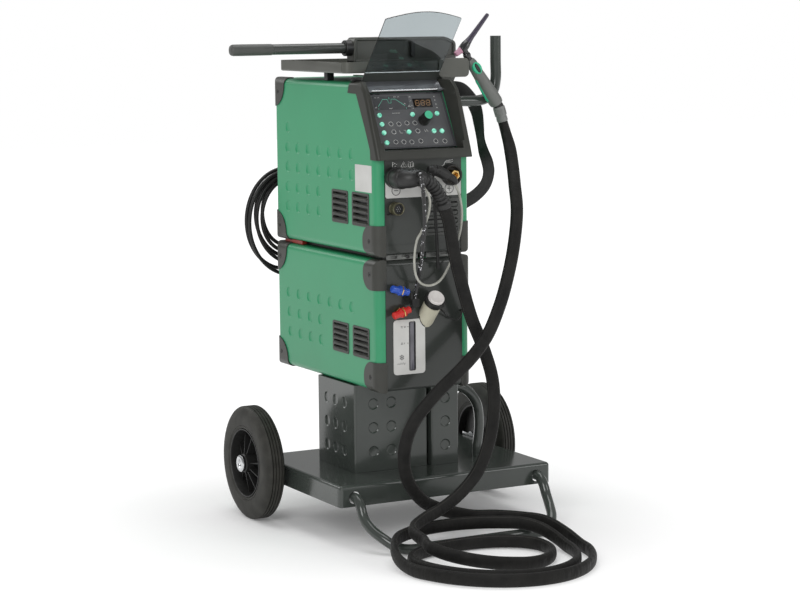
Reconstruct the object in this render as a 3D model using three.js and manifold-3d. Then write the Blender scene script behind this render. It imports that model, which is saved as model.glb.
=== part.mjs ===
// Welding set on a two-wheel cart: inverter power source, water cooler, torch and hose.
// Millimetres, +Z up, the front of the machine faces -Y, X = 0 is the machine's middle while it is built.
import * as THREE from 'three';
import { mergeVertices } from 'three/addons/utils/BufferGeometryUtils.js';
import Module from 'manifold-3d';

const wasm = await Module();
wasm.setup();

// ---------------------------------------------------------------- driving dimensions
const fit = 0.3;                 // gap between pieces that touch
const slack = 0.5;               // running gap round pieces that turn or slide

// both cabinets
const caseHalf = 130;            // half width
const caseFront = -312;
const caseRear = 250;
const caseEdge = 16;             // rounding of the long edges
const caseCorner = 20;           // rounding of the upright corners
const caseSheet = 2.5;
const windowHalf = caseHalf - 24; // half width of the front and rear openings
const capProud = 3;              // how far the corner caps stand out
const capReachY = 69;
const capReachZ = 75;
const capRadius = 34;
const plateThick = 5;            // front and rear panels
const plateProud = 1.3;          // how far they stand out of the shell
const faceY = caseFront - plateProud;

const coolerBottom = 370;
const coolerTop = 689.5;
const powerBottom = 702;
const powerTop = 1115;

// pressed dimples and side grilles
const dimpleR = 14.5;
const dimpleDeep = 1.2;
const dimplePitch = 59.5;
const grilleSlats = 5;

// cart
const cartMid = 61;              // the cart is wider to the right of the machine
const cartHalf = 297.5;
const cartFront = -316;
const cartRear = 150;
const skirtBottom = 98;
const trayFloor = 150;
const cartSheet = 3;
const cartCorner = 14;

// wheels
const wheelR = 145;
const axleY = 94;
const axleR = 10;
const tyreInner = cartHalf + 12.5; // distances from the cart's middle
const tyreOuter = tyreInner + 55;
const rimR = 88;
const hubR = 24;
const hubIn = tyreInner + 2;
const hubOut = tyreOuter + 4;
const hubCapR = 22;
const hubCapLong = 8;
const spokeCount = 8;
const wheelFacets = 24;

// columns between cart and cooler
const columnLeft = -caseHalf;
const columnRight = 75;
const columnFront = -190;
const columnRear = 15;
const sideColLeft = 81;
const sideColRight = 159;
const sideColFront = -200;
const sideColRear = -30;

// steel tubes
const footTubeR = 12.5;
const footHalf = cartHalf - 39.5;
const footDropZ = 120;
const footHoleGap = 1.2;
const footBarHalf = 182;
const footBarY = -455;
const guardY = -150;
const barR = 13.5;
const barZ = 1195;
const barY = -80;
const barEnd = -405;
const hookY = -150;
const hookArmZ = 1059;
const hookX = 301;
const hookTop = 1222;

// top tray and the box on it
const shelfLeft = -146;
const shelfRight = 195;
const shelfFront = -190;
const shelfRear = 183;
const shelfBottom = 1136;
const shelfRim = 27;
const shelfTop = shelfBottom + shelfRim;
const shelfSheet = 3;
const postHalf = 9.5;
const boxLeft = -74;
const boxRight = 215;
const boxFront = -100;
const boxRear = -60;
const boxTop = 1221;

// sloping control panel
const panelTilt = 60.45;         // degrees from level to upright
const panelMid = new THREE.Vector3(0, -254, 1020.5);
const cheekIn = caseHalf - 25;    // inner and outer faces of the bezel's cheeks
const cheekOut = caseHalf + 2.5;
const panelHalfX = cheekIn - fit;
const bezelLow = 932;
const panelLow = -73;
const panelHigh = 77;
const panelThick = 6;

const buttonR = 6.2;
const buttonProud = 3;
const buttonTravel = 2;
const knobR = 14;
const knobHigh = 33;
const knobAt = [34, -1];
const buttonsAt = [
  [-82, 17.3], [8.6, 16.8], [77, 17.2], [-81.8, -7.1], [-82.5, -30],
  [-14, -30], [55.3, -29.9], [77.4, -30.8], [-81.7, -56.9],
];

// smoked flap over the panel
const flapHalf = cheekIn - 5;
const flapThick = 3;
const flapHinge = [-222, 1094];
const flapBend = [-195, 1115];
const flapTip = [-322, 1266];
const flapCrown = 22;
const flapCornerR = 12;
const pinR = 2.5;
const barrelR = 5;
const barrelLong = 12;

// sockets and pipes on the fronts
const minusAt = [-82, 890];
const plusAt = [75, 890];
const controlAt = [-79, 815];
const minusR = 25;
const plusR = 26;
const controlR = 16;
const socketDeep = 9;
const neckAt = [8, 552];
const neckR = 22;
const neckLong = 46;
const neckTilt = 45;
const fillerCapR = 26;
const fillerCapLong = 14;
const fillerTopR = 20;
const fillerTopLong = 9;

// hoses and cables
const hoseR = 14;
const hoseSides = 8;
const gasR = 3;
const leadR = 5;
const mainsR = 5;
const coilMid = [10, -605];
const coilFloor = 1;
const coilStart = 0.06;
const coilEnd = 2.8;
const hankMid = [-60, 730];
const hankHalf = [128, 146];
const hankLoops = 6;
const hankPitch = 11.6;
const hankY = 315;
const pegR = 8;
const glandAt = [68, 850];
const glandLong = 22;

// ---------------------------------------------------------------- shape helpers
const V = (x, y, z) => new THREE.Vector3(x, y, z);

function solid(geometry) {
  const bare = geometry.clone();
  bare.deleteAttribute('normal');
  bare.deleteAttribute('uv');
  const merged = mergeVertices(bare, 1e-4);
  return new wasm.Manifold(new wasm.Mesh({
    numProp: 3,
    vertProperties: new Float32Array(merged.attributes.position.array),
    triVerts: new Uint32Array(merged.index.array),
  }));
}

function geometryOf(body) {
  const mesh = body.getMesh();
  const geometry = new THREE.BufferGeometry();
  geometry.setAttribute('position', new THREE.BufferAttribute(new Float32Array(mesh.vertProperties), 3));
  geometry.setIndex(new THREE.BufferAttribute(new Uint32Array(mesh.triVerts), 1));
  geometry.computeVertexNormals();
  return geometry;
}

function join(...bodies) {
  return bodies.reduce((all, body) => all.add(body));
}

function cut(body, ...tools) {
  return tools.reduce((left, tool) => left.subtract(tool), body);
}

function box(x0, x1, y0, y1, z0, z1) {
  const geometry = new THREE.BoxGeometry(x1 - x0, y1 - y0, z1 - z0);
  geometry.translate((x0 + x1) / 2, (y0 + y1) / 2, (z0 + z1) / 2);
  return solid(geometry);
}

function outline(points) {
  return new THREE.Shape(points.map(([a, b]) => new THREE.Vector2(a, b)));
}

function roundedRect(a0, a1, b0, b1, r) {
  const shape = new THREE.Shape();
  shape.moveTo(a0 + r, b0);
  shape.lineTo(a1 - r, b0);
  shape.absarc(a1 - r, b0 + r, r, -Math.PI / 2, 0, false);
  shape.lineTo(a1, b1 - r);
  shape.absarc(a1 - r, b1 - r, r, 0, Math.PI / 2, false);
  shape.lineTo(a0 + r, b1);
  shape.absarc(a0 + r, b1 - r, r, Math.PI / 2, Math.PI, false);
  shape.lineTo(a0, b0 + r);
  shape.absarc(a0 + r, b0 + r, r, Math.PI, 1.5 * Math.PI, false);
  return shape;
}

// an arc of a shape gets two facets a curve segment
function extruded(shape, depth, facets) {
  return new THREE.ExtrudeGeometry(shape, { depth, bevelEnabled: false, curveSegments: facets / 2 });
}

// an outline in (x, y) raised from z0 to z1
function prismZ(shape, z0, z1, facets = 4) {
  const geometry = extruded(shape, z1 - z0, facets);
  geometry.translate(0, 0, z0);
  return solid(geometry);
}

// an outline in (y, z) drawn from x0 to x1
function prismX(shape, x0, x1, facets = 4) {
  const geometry = extruded(shape, x1 - x0, facets);
  geometry.applyMatrix4(new THREE.Matrix4().makeBasis(V(0, 1, 0), V(0, 0, 1), V(1, 0, 0)));
  geometry.translate(x0, 0, 0);
  return solid(geometry);
}

// an outline in (x, z) drawn from y0 to y1
function prismY(shape, y0, y1, facets = 4) {
  const geometry = extruded(shape, y1 - y0, facets);
  geometry.applyMatrix4(new THREE.Matrix4().makeBasis(V(1, 0, 0), V(0, 0, 1), V(0, -1, 0)));
  geometry.translate(0, y1, 0);
  return solid(geometry);
}

// a round bar between two points, its ends with radius r0 and r1
function bar(from, to, r0, r1 = r0, sides = 20) {
  const along = to.clone().sub(from);
  const geometry = new THREE.CylinderGeometry(r1, r0, along.length(), sides);
  geometry.applyQuaternion(new THREE.Quaternion().setFromUnitVectors(V(0, 1, 0), along.clone().normalize()));
  const mid = from.clone().add(to).multiplyScalar(0.5);
  geometry.translate(mid.x, mid.y, mid.z);
  return solid(geometry);
}

// a body of revolution: [radius, distance] pairs from the axis back to it, set along a direction
function turned(profile, from, direction, segments = 24) {
  const geometry = new THREE.LatheGeometry(profile.map(([r, h]) => new THREE.Vector2(r, h)), segments);
  geometry.applyQuaternion(new THREE.Quaternion().setFromUnitVectors(V(0, 1, 0),
    direction.clone().normalize()));
  geometry.translate(from.x, from.y, from.z);
  return solid(geometry);
}

// a closed skin over rings of points, each ring counter-clockwise seen against the way it runs
function lofted(rings) {
  const count = rings[0].length;
  const position = rings.flat().flatMap((p) => [p.x, p.y, p.z]);
  const index = [];
  for (let i = 0; i + 1 < rings.length; i += 1) {
    for (let j = 0; j < count; j += 1) {
      const a = i * count + j;
      const b = i * count + ((j + 1) % count);
      index.push(a, b, b + count, a, b + count, a + count);
    }
  }
  for (let j = 1; j + 1 < count; j += 1) {
    const last = (rings.length - 1) * count;
    index.push(0, j + 1, j, last, last + j, last + j + 1);
  }
  const geometry = new THREE.BufferGeometry();
  geometry.setAttribute('position', new THREE.Float32BufferAttribute(position, 3));
  geometry.setIndex(index);
  geometry.computeVertexNormals();
  return geometry;
}

// rings of a round tube along points, turned as little as possible from one to the next
function tubeRings(points, radiusAt, sides, firstUp = V(0, 0, 1), startWay = null, endWay = null) {
  const rings = [];
  let up = firstUp.clone();
  points.forEach((point, i) => {
    const before = points[Math.max(i - 1, 0)];
    const after = points[Math.min(i + 1, points.length - 1)];
    const along = after.clone().sub(before).normalize();
    if (i === 0 && startWay) {
      along.copy(startWay);
    }
    if (i === points.length - 1 && endWay) {
      along.copy(endWay);
    }
    up = up.clone().sub(along.clone().multiplyScalar(up.dot(along)));
    if (up.length() < 1e-3) {
      up = V(1, 0, 0).sub(along.clone().multiplyScalar(along.x));
    }
    up.normalize();
    const side = up.clone().cross(along).normalize();
    const r = radiusAt(i);
    const ring = [];
    for (let j = 0; j < sides; j += 1) {
      const a = ((j + 0.5) / sides) * 2 * Math.PI;
      ring.push(point.clone()
        .add(side.clone().multiplyScalar(r * Math.sin(a)))
        .add(up.clone().multiplyScalar(r * Math.cos(a))));
    }
    rings.push(ring.reverse());
  });
  return rings;
}

// a smooth route through points, sampled at even steps
function route(points, steps) {
  return new THREE.CatmullRomCurve3(points, false, 'centripetal').getSpacedPoints(steps);
}

// a plain steel tube: a round section drawn along a smooth route
function tube(points, r, steps, sides = 10) {
  const section = new THREE.Shape();
  section.absarc(0, 0, r, 0, 2 * Math.PI, false);
  const path = new THREE.CatmullRomCurve3(points, false, 'centripetal');
  return new THREE.ExtrudeGeometry(section, {
    steps, extrudePath: path, curveSegments: sides / 2, bevelEnabled: false,
  });
}

// a hose or cable: a polygon section along a smooth route
function cord(points, r, steps, sides = hoseSides) {
  const n = points.length - 1;
  const startWay = points[1].clone().sub(points[0]).normalize();
  const endWay = points[n].clone().sub(points[n - 1]).normalize();
  return lofted(tubeRings(route(points, steps), () => r, sides, V(0, 0, 1), startWay, endWay));
}

const smooth = (a, b, x) => {
  const s = Math.min(1, Math.max(0, (x - a) / (b - a)));
  return s * s * (3 - 2 * s);
};

// ---------------------------------------------------------------- scene graph helpers
const machine = new THREE.Group();
const cordNames = [];

function paint(color, roughness, metalness, extra = {}) {
  return () => new THREE.MeshStandardMaterial({ color, roughness, metalness, ...extra });
}

const greenPaint = paint(0x2f9468, 0.42, 0.1);
const greyPaint = paint(0x4a4f4b, 0.3, 0.25);
const panelPaint = paint(0x474b47, 0.4, 0.15);
const capPlastic = paint(0x4b4b44, 0.5, 0);
const blackRubber = paint(0x1b1b1a, 0.75, 0);
const tyreRubber = paint(0x2c2c28, 0.8, 0);
const blackPlastic = paint(0x202020, 0.45, 0);
const steel = paint(0xb9bcbd, 0.25, 1);
const brass = paint(0xb98a3a, 0.3, 1);

function put(name, geometry, material, parent = machine) {
  const shaped = geometry.getMesh ? geometryOf(geometry) : geometry;
  const mesh = new THREE.Mesh(shaped, material());
  mesh.name = name;
  parent.add(mesh);
  return mesh;
}

function putCord(name, geometry, material) {
  cordNames.push(name);
  return put(name, geometry, material);
}

// ---------------------------------------------------------------- cabinets
// the outside of a cabinet grown by some distance: long edges and upright corners rounded
function caseBody(z0, z1, grow, facets = 3) {
  const long = roundedRect(-caseHalf - grow, caseHalf + grow, z0 - grow, z1 + grow, caseEdge + grow);
  const plan = roundedRect(
    -caseHalf - grow, caseHalf + grow, caseFront - grow, caseRear + grow, caseCorner + grow);
  return prismY(long, caseFront - grow, caseRear + grow, facets)
    .intersect(prismZ(plan, z0 - grow - 1, z1 + grow + 1, facets));
}

// one pressed dimple on a wall that looks along -X or +X (side = -1 or 1)
function dimpleX(side, wall, y, z) {
  const from = V(side * (wall - dimpleDeep), y, z);
  return bar(from, V(side * (wall + 1), y, z), dimpleR - 2, dimpleR + 1, 6);
}

function dimpleY(wall, x, z) {
  return bar(V(x, wall + dimpleDeep, z), V(x, wall - 1, z), dimpleR - 2, dimpleR + 1, 6);
}

const powerDimples = [
  [167, 991.6, 1],
  [170, 940, 7],
  [170, 890, 7],
  [172, 838, 4],
  [172, 788.5, 4],
];
const coolerDimples = [
  [176, 564, 7],
  [172, 513, 4],
  [168, 462, 4],
];

function dimpleRows(rows) {
  const tools = [];
  rows.forEach(([y, z, count]) => {
    for (let i = 0; i < count; i += 1) {
      tools.push(dimpleX(-1, caseHalf, y - i * dimplePitch, z));
    }
  });
  return join(...tools);
}

// grille openings in the side walls: [front, rear, bottom, top]
const powerVents = [[-168, -80, 768, 850], [-279, -189, 768, 850]];
const coolerVents = [[-164, -76, 445, 522], [-274, -186, 445, 522]];

function ventHoles(vents) {
  return join(...vents.map(([y0, y1, z0, z1]) => prismX(
    roundedRect(y0, y1, z0, z1, 6), -caseHalf - 5, caseHalf + 5, 1)));
}

function caseShell(z0, z1, rows, vents) {
  const hollow = caseBody(z0, z1, -caseSheet, 1);
  const front = box(-windowHalf, windowHalf, caseFront - 5, caseFront + 40, z0 + caseSheet, z1 - caseSheet);
  const rear = box(-windowHalf, windowHalf, caseRear - 40, caseRear + 5, z0 + caseSheet, z1 - caseSheet);
  return cut(caseBody(z0, z1, 0), hollow, front, rear, dimpleRows(rows), ventHoles(vents));
}

// an end panel with oval plastic caps moulded on, which wrap the shell's corners
function endPanel(z0, z1, front, tops, panelTop) {
  const skin = caseBody(z0, z1, capProud).subtract(caseBody(z0, z1, fit));
  const over = capProud + 1;
  const y0 = front ? caseFront - over - capRadius : caseRear - capReachY + capProud;
  const y1 = front ? caseFront + capReachY - capProud : caseRear + over + capRadius;
  const corners = tops.map((top) => {
    const b0 = top ? z1 - capReachZ + capProud : z0 - over - capRadius;
    const b1 = top ? z1 + over + capRadius : z0 + capReachZ - capProud;
    return prismX(roundedRect(y0, y1, b0, b1, capRadius), -caseHalf - 10, caseHalf + 10, 3);
  });
  const inner = windowHalf - 3;
  const middle = box(-inner, inner, caseFront - 50, caseRear + 50, z0 - 50, z1 + 50);
  const caps = cut(skin.intersect(join(...corners)), middle);
  const w = windowHalf - fit;
  const low = z0 + caseSheet + fit;
  const plate = front
    ? box(-w, w, faceY, caseFront + plateThick, low, panelTop)
    : box(-w, w, caseRear - plateThick, caseRear + plateProud, low, panelTop);
  return join(plate, caps);
}

// a black insert behind two openings of one side wall, with slats standing in each
function louvres(side, vents) {
  const wall = caseHalf - caseSheet;
  const xs = (a, b) => [Math.min(side * a, side * b), Math.max(side * a, side * b)];
  const low = Math.min(...vents.map((v) => v[2])) - 6;
  const high = Math.max(...vents.map((v) => v[3])) + 6;
  const rear = Math.max(...vents.map((v) => v[1])) + 6;
  const front = Math.min(...vents.map((v) => v[0])) - 6;
  const [b0, b1] = xs(wall - 3.3, wall - fit);
  const parts = [box(b0, b1, front, rear, low, high)];
  vents.forEach(([y0, y1, z0, z1]) => {
    const [f0, f1] = xs(wall - 1, caseHalf - 0.5);
    parts.push(prismX(roundedRect(y0 + fit, y1 - fit, z0 + fit, z1 - fit, 6 - fit), f0, f1, 1));
    const pitch = (z1 - z0 - 8) / grilleSlats;
    for (let i = 0; i < grilleSlats; i += 1) {
      const foot = z0 + 4 + i * pitch + 2;
      const [s0, s1] = xs(caseHalf - 1, caseHalf + 1.5);
      parts.push(box(s0, s1, y0 + 5, y1 - 5, foot, foot + pitch * 0.45));
    }
  });
  return join(...parts);
}

function buildCooler() {
  put('cooler_shell', caseShell(coolerBottom, coolerTop, coolerDimples, coolerVents), greenPaint);
  const high = coolerTop - caseSheet - fit;
  // level plate with the long window of the sight tube
  const gauge = prismY(roundedRect(-86, 1, 409, 544, 8), faceY - 2, faceY + 1, 4)
    .add(prismY(roundedRect(-43, -26, 418, 538, 7), faceY - 4, faceY - 1, 4));
  put('cooler_front', endPanel(coolerBottom, coolerTop, true, [true, false], high).add(gauge), panelPaint);
  put('cooler_rear', endPanel(coolerBottom, coolerTop, false, [true, false], high), panelPaint);
  put('cooler_grille_left', louvres(-1, coolerVents), blackPlastic);
  put('cooler_grille_right', louvres(1, coolerVents), blackPlastic);
}

function buildFiller() {
  const tilt = THREE.MathUtils.degToRad(neckTilt);
  const along = V(0, -Math.cos(tilt), Math.sin(tilt));
  const foot = V(neckAt[0], faceY - fit, neckAt[1]);
  const keep = box(-60, 80, faceY - 200, faceY - fit, 400, 700);
  const neck = bar(foot.clone().sub(along.clone().multiplyScalar(30)),
    foot.clone().add(along.clone().multiplyScalar(neckLong)), neckR, neckR, 18).intersect(keep)
    .subtract(box(-90, 1 + slack, faceY - 2 - slack, faceY, 400, 550 + slack));
  put('filler_neck', neck, paint(0xb9b59c, 0.5, 0));
  const seat = foot.clone().add(along.clone().multiplyScalar(neckLong + slack));
  const lid = turned([
    [0, 0], [fillerCapR, 0], [fillerCapR, fillerCapLong], [fillerTopR, fillerCapLong],
    [fillerTopR, fillerCapLong + fillerTopLong - 3], [fillerTopR - 3, fillerCapLong + fillerTopLong],
    [0, fillerCapLong + fillerTopLong],
  ], V(0, 0, 0), along, 18);
  const cap = put('filler_cap', lid, paint(0xd8d4cc, 0.4, 0));
  cap.position.copy(seat);
  // leash from the neck to the front plate
  const eyeR = 2;
  const leashStart = V(neckAt[0] + neckR + fit + eyeR, caseFront - 24, neckAt[1] + 14);
  const leashEnd = V(100, faceY - fit, 556);
  putLeash(leashStart, leashEnd);
}

function putLeash(from, to) {
  const points = [
    from, V(from.x + 6, from.y - 6, from.z - 7), V(58, from.y - 12, 545), V(78, caseFront - 22, 536),
    V(94, caseFront - 16, 545), V(to.x, caseFront - 11, to.z), to,
  ];
  put('filler_tether', cord(points, 2, 13, 6), blackRubber);
}

// push-on water couplings: a body along the front face with a brass collar
function coupling(name, x, z, material, lean) {
  const y = faceY - fit;
  const seat = bar(V(x, y, z), V(x, y - 16, z), 7, 7, 12);
  const dir = V(Math.cos(lean), 0, Math.sin(lean));
  const mid = V(x, y - 22, z);
  const at = (d) => mid.clone().add(dir.clone().multiplyScalar(d));
  const body = join(
    seat,
    bar(at(-26), at(-4), 9, 9, 12),
    bar(at(-4.5), at(8), 11.5, 11.5, 6),
    bar(at(7.5), at(22), 8.5, 8.5, 12),
  );
  put(name, body, material);
  return at(22 + fit);
}

const railHigh = (coolerTop + powerBottom) / 2;

// rubber mat between the cabinets, with two strips and a round stud at its front
function buildRails() {
  const z0 = coolerTop + fit;
  const z1 = powerBottom - fit;
  const mat = box(-98, 98, caseFront + 30, caseRear - 24, z0, z1);
  const strips = box(-98, -12, caseFront + 8, caseFront + 32, z0, z1)
    .add(box(14, 84, caseFront + 12, caseFront + 32, z0, z1));
  const pin = bar(V(-40, caseFront + 5, railHigh), V(-40, caseFront + 9, railHigh), 4.5, 4.5, 12);
  put('unit_rails', join(mat, strips, pin), blackPlastic);
}

// side outline of the bezel in (y, z)
const bezelSide = [
  [-174, 1089], [-185.5, 1117], [-245, 1117], [-270, 1096], [-285, 1070], [-310, 1014], [-334, 960],
  [-343.5, bezelLow + 4], [-343, bezelLow], [-291, bezelLow], [-289, bezelLow + 24], [-262, 1010],
  [-219, 1088],
];
// what the bezel and the panel take out of the power source's shell
const bezelCut = [
  [-173.6, 1130], [-173.6, 1088.7], [-218.8, 1087.7], [-261.7, 1009.8], [-288.7, bezelLow + 23.9],
  [-290.7, bezelLow - fit], [-360, bezelLow - fit], [-360, 1130],
];

function buildPower() {
  const taken = prismX(outline(bezelCut), -caseHalf - 20, caseHalf + 20);
  put('power_shell', caseShell(powerBottom, powerTop, powerDimples, powerVents).subtract(taken), greenPaint);
  const grille = [];
  for (let i = 0; i < 4; i += 1) {
    grille.push(box(4, 102, faceY - 1, faceY + 1, 750 + i * 20, 762 + i * 20));
  }
  const control = bar(V(controlAt[0], faceY + 1, controlAt[1]), V(controlAt[0], faceY - 25, controlAt[1]),
    controlR, controlR, 16).subtract(
    bar(V(controlAt[0], faceY - 23, controlAt[1]), V(controlAt[0], faceY - 26, controlAt[1]), 12.5, 12.5,
      16));
  put('power_front', join(
    endPanel(powerBottom, powerTop, true, [false], bezelLow - 2 * fit), ...grille, control), panelPaint);
  const gland = bar(V(glandAt[0], caseRear, glandAt[1]), V(glandAt[0], caseRear + glandLong, glandAt[1]),
    12, 9, 16);
  // peg that carries the mains hank, with an upturned end
  const pegZ = hankMid[1] + hankHalf[1] - (hankLoops / 2) * hankPitch - mainsR - pegR - fit;
  const pegEnd = hankY + hankPitch + mainsR + pegR + 3;
  const peg = bar(V(hankMid[0], caseRear, pegZ), V(hankMid[0], pegEnd, pegZ), pegR, pegR, 12);
  const lip = bar(V(hankMid[0], pegEnd, pegZ - pegR), V(hankMid[0], pegEnd, pegZ + 26), pegR, pegR, 12);
  const back = endPanel(powerBottom, powerTop, false, [true, false], powerTop - caseSheet - fit);
  put('power_rear', join(back, gland, peg, lip), panelPaint);
  put('power_grille_left', louvres(-1, powerVents), blackPlastic);
  put('power_grille_right', louvres(1, powerVents), blackPlastic);
}

function buildBezel() {
  const side = prismX(outline(bezelSide), -cheekOut, cheekOut);
  // the middle keeps only a bar behind the flap and a lip under the panel
  const pocket = outline([
    [-160, 1088.3], [-212, 1088.3], [-211, 1096.8], [-192.2, 1111.4], [-186.5, 1115.8], [-190, 1130],
    [-360, 1130], [-360, 954.2], [-280, 954.2], [-280, 960], [-160, 1080],
  ]);
  const through = prismX(pocket, -cheekIn, cheekIn);
  const bore = bar(V(-cheekIn - 14, flapHinge[0], flapHinge[1]), V(cheekIn + 14, flapHinge[0], flapHinge[1]),
    pinR + fit, pinR + fit, 12);
  put('bezel', cut(side, through, bore), capPlastic);
  const rodEnd = cheekIn + 14 - fit;
  put('flap_rod', bar(V(-rodEnd, flapHinge[0], flapHinge[1]), V(rodEnd, flapHinge[0], flapHinge[1]), pinR,
    pinR, 12),
    steel);
}

function buildFlap() {
  const [hy, hz] = flapHinge;
  const at = ([y, z]) => V(0, y - hy, z - hz);
  const bend = at(flapBend);
  const tip = at(flapTip);
  const up = tip.clone().sub(bend);
  const long = up.length();
  up.normalize();
  const legUp = bend.clone().normalize();
  const lay = (shape, origin, v) => {
    const n = V(1, 0, 0).cross(v);
    const geometry = extruded(shape, flapThick, 6);
    geometry.translate(0, 0, -flapThick / 2);
    geometry.applyMatrix4(new THREE.Matrix4().makeBasis(V(1, 0, 0), v, n));
    geometry.translate(origin.x, origin.y, origin.z);
    return solid(geometry);
  };
  const sheet = new THREE.Shape();
  sheet.moveTo(-flapHalf, 0);
  sheet.lineTo(flapHalf, 0);
  sheet.lineTo(flapHalf, long - flapCornerR);
  sheet.quadraticCurveTo(flapHalf, long, flapHalf - flapCornerR, long + 3);
  sheet.quadraticCurveTo(0, long + 2 * flapCrown - 5, -flapHalf + flapCornerR, long + 3);
  sheet.quadraticCurveTo(-flapHalf, long, -flapHalf, long - flapCornerR);
  const leg = outline([
    [-flapHalf, 0], [flapHalf, 0], [flapHalf, bend.length() + 1], [-flapHalf, bend.length() + 1]]);
  const barrels = [-1, 1].map((s) => bar(
    V(s * (cheekIn - slack), 0, 0), V(s * (cheekIn - slack - barrelLong), 0, 0), barrelR, barrelR, 14));
  const bore = bar(V(-cheekIn - 5, 0, 0), V(cheekIn + 5, 0, 0), pinR + fit, pinR + fit, 12);
  const start = up.clone().multiplyScalar(-1);
  const body = cut(join(lay(sheet, bend.clone().add(start), up), lay(leg, V(0, 0, 0), legUp), ...barrels),
    bore);
  const flap = put('flap', body, paint(0x5a605e, 0.12, 0, { transparent: true, opacity: 0.55 }));
  flap.position.set(0, hy, hz);
}

function buildPanel() {
  const panel = new THREE.Group();
  panel.position.copy(panelMid);
  panel.rotation.x = THREE.MathUtils.degToRad(panelTilt);
  machine.add(panel);
  const deep = buttonTravel + fit + 2.2;
  const wells = buttonsAt.map(([x, y]) => bar(V(x, y, -deep), V(x, y, 1), buttonR + slack,
    buttonR + slack, 8));
  const sheet = box(-panelHalfX, panelHalfX, panelLow, panelHigh, -panelThick, 0);
  put('control_panel', cut(sheet, ...wells), panelPaint, panel);
  buttonsAt.forEach(([x, y], i) => {
    const button = put(`button_${i + 1}`, bar(V(0, 0, -2.2), V(0, 0, buttonProud), buttonR, buttonR - 0.6,
      8),
      paint(0x2fae77, 0.35, 0), panel);
    button.position.set(x, y, 0);
  });
  const skirt = [[0, 0], [knobR, 0], [knobR, 4], [knobR - 1.5, 6], [knobR - 2, knobHigh - 2],
    [knobR - 4, knobHigh], [0, knobHigh]];
  const knob = put('knob', turned(skirt, V(0, 0, 0), V(0, 0, 1), 20), paint(0x2aa36e, 0.35, 0), panel);
  knob.position.set(knobAt[0], knobAt[1], slack);
}

// ---------------------------------------------------------------- sockets, plug and leads
const elbowMid = V(minusAt[0] + 27, caseFront - 71, minusAt[1] + 2);
const bootPath = [
  V(-38, -384, 887), V(-26, -384, 882), V(-8, -383, 867), V(6, -380, 849), V(15, -378, 834),
  V(22, -376, 818),
];
const bootWay0 = bootPath[1].clone().sub(bootPath[0]).normalize();
const bootRibs = 8;

function buildFrontFittings() {
  const y = faceY - fit;
  // pale plate that carries the two power sockets
  const plate = prismY(roundedRect(-104, 104, 840, 892, 5), y - 1.2, y, 2);
  const minus = bar(V(minusAt[0], y, minusAt[1]), V(minusAt[0], y - socketDeep, minusAt[1]), minusR,
    minusR, 16);
  const plus = bar(V(plusAt[0], y, plusAt[1]), V(plusAt[0], y - 16, plusAt[1]), plusR, plusR, 16)
    .subtract(bar(V(plusAt[0], y - 13, plusAt[1]), V(plusAt[0], y - 17, plusAt[1]), 18, 18, 16))
    .add(bar(V(plusAt[0], y - 12, plusAt[1]), V(plusAt[0], y - 26, plusAt[1]), 13, 13, 6));
  put('socket_plate', join(plate, minus, plus), paint(0xb4b8b4, 0.45, 0.1));

  // the torch's plug: straight out of the socket, then an elbow to the right
  const plugStart = y - socketDeep - fit;
  const body = turned([
    [0, 0], [24, 0], [24, 12], [22, 15], [22, 40], [20, 46], [0, 46],
  ], V(minusAt[0], plugStart, minusAt[1]), V(0, -1, 0), 14);
  const elbow = solid(lofted(tubeRings(route([
    V(minusAt[0], plugStart - 30, minusAt[1]), V(minusAt[0] + 3, plugStart - 46, minusAt[1]),
    V(minusAt[0] + 12, plugStart - 57, minusAt[1]), elbowMid,
    bootPath[0].clone().sub(bootWay0.clone().multiplyScalar(fit + 0.1)),
  ], 7), (i) => 19 - 0.3 * i, 10, V(0, 0, 1), null, bootWay0)));
  const nipple = (a, b, r) => bar(a, b, r, r, 10);
  put('torch_plug', join(body, elbow, nipple(elbowMid, gasStart, 5), nipple(elbowMid, leadStart, 6.5)),
    blackPlastic);
}

const gasStart = V(-66, -406, 874);
const leadStart = V(-52, -405, 864);

function buildBoot() {
  // ribs by formula: two rings a rib, wide and narrow in turn, tapering to the hose
  const fine = route(bootPath, bootRibs * 2 + 3);
  const radius = (i) => {
    const share = i / (fine.length - 1);
    const base = 17.5 - 2 * share;
    if (i < 2 || i > fine.length - 3) {
      return base - 1;
    }
    return i % 2 ? base + 1 : base - 2.2;
  };
  const n = bootPath.length - 1;
  const endWay = bootPath[n].clone().sub(bootPath[n - 1]).normalize();
  putCord('torch_boot', lofted(tubeRings(fine, radius, 8, V(0, 0, 1), bootWay0, endWay)), blackRubber);
}

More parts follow.
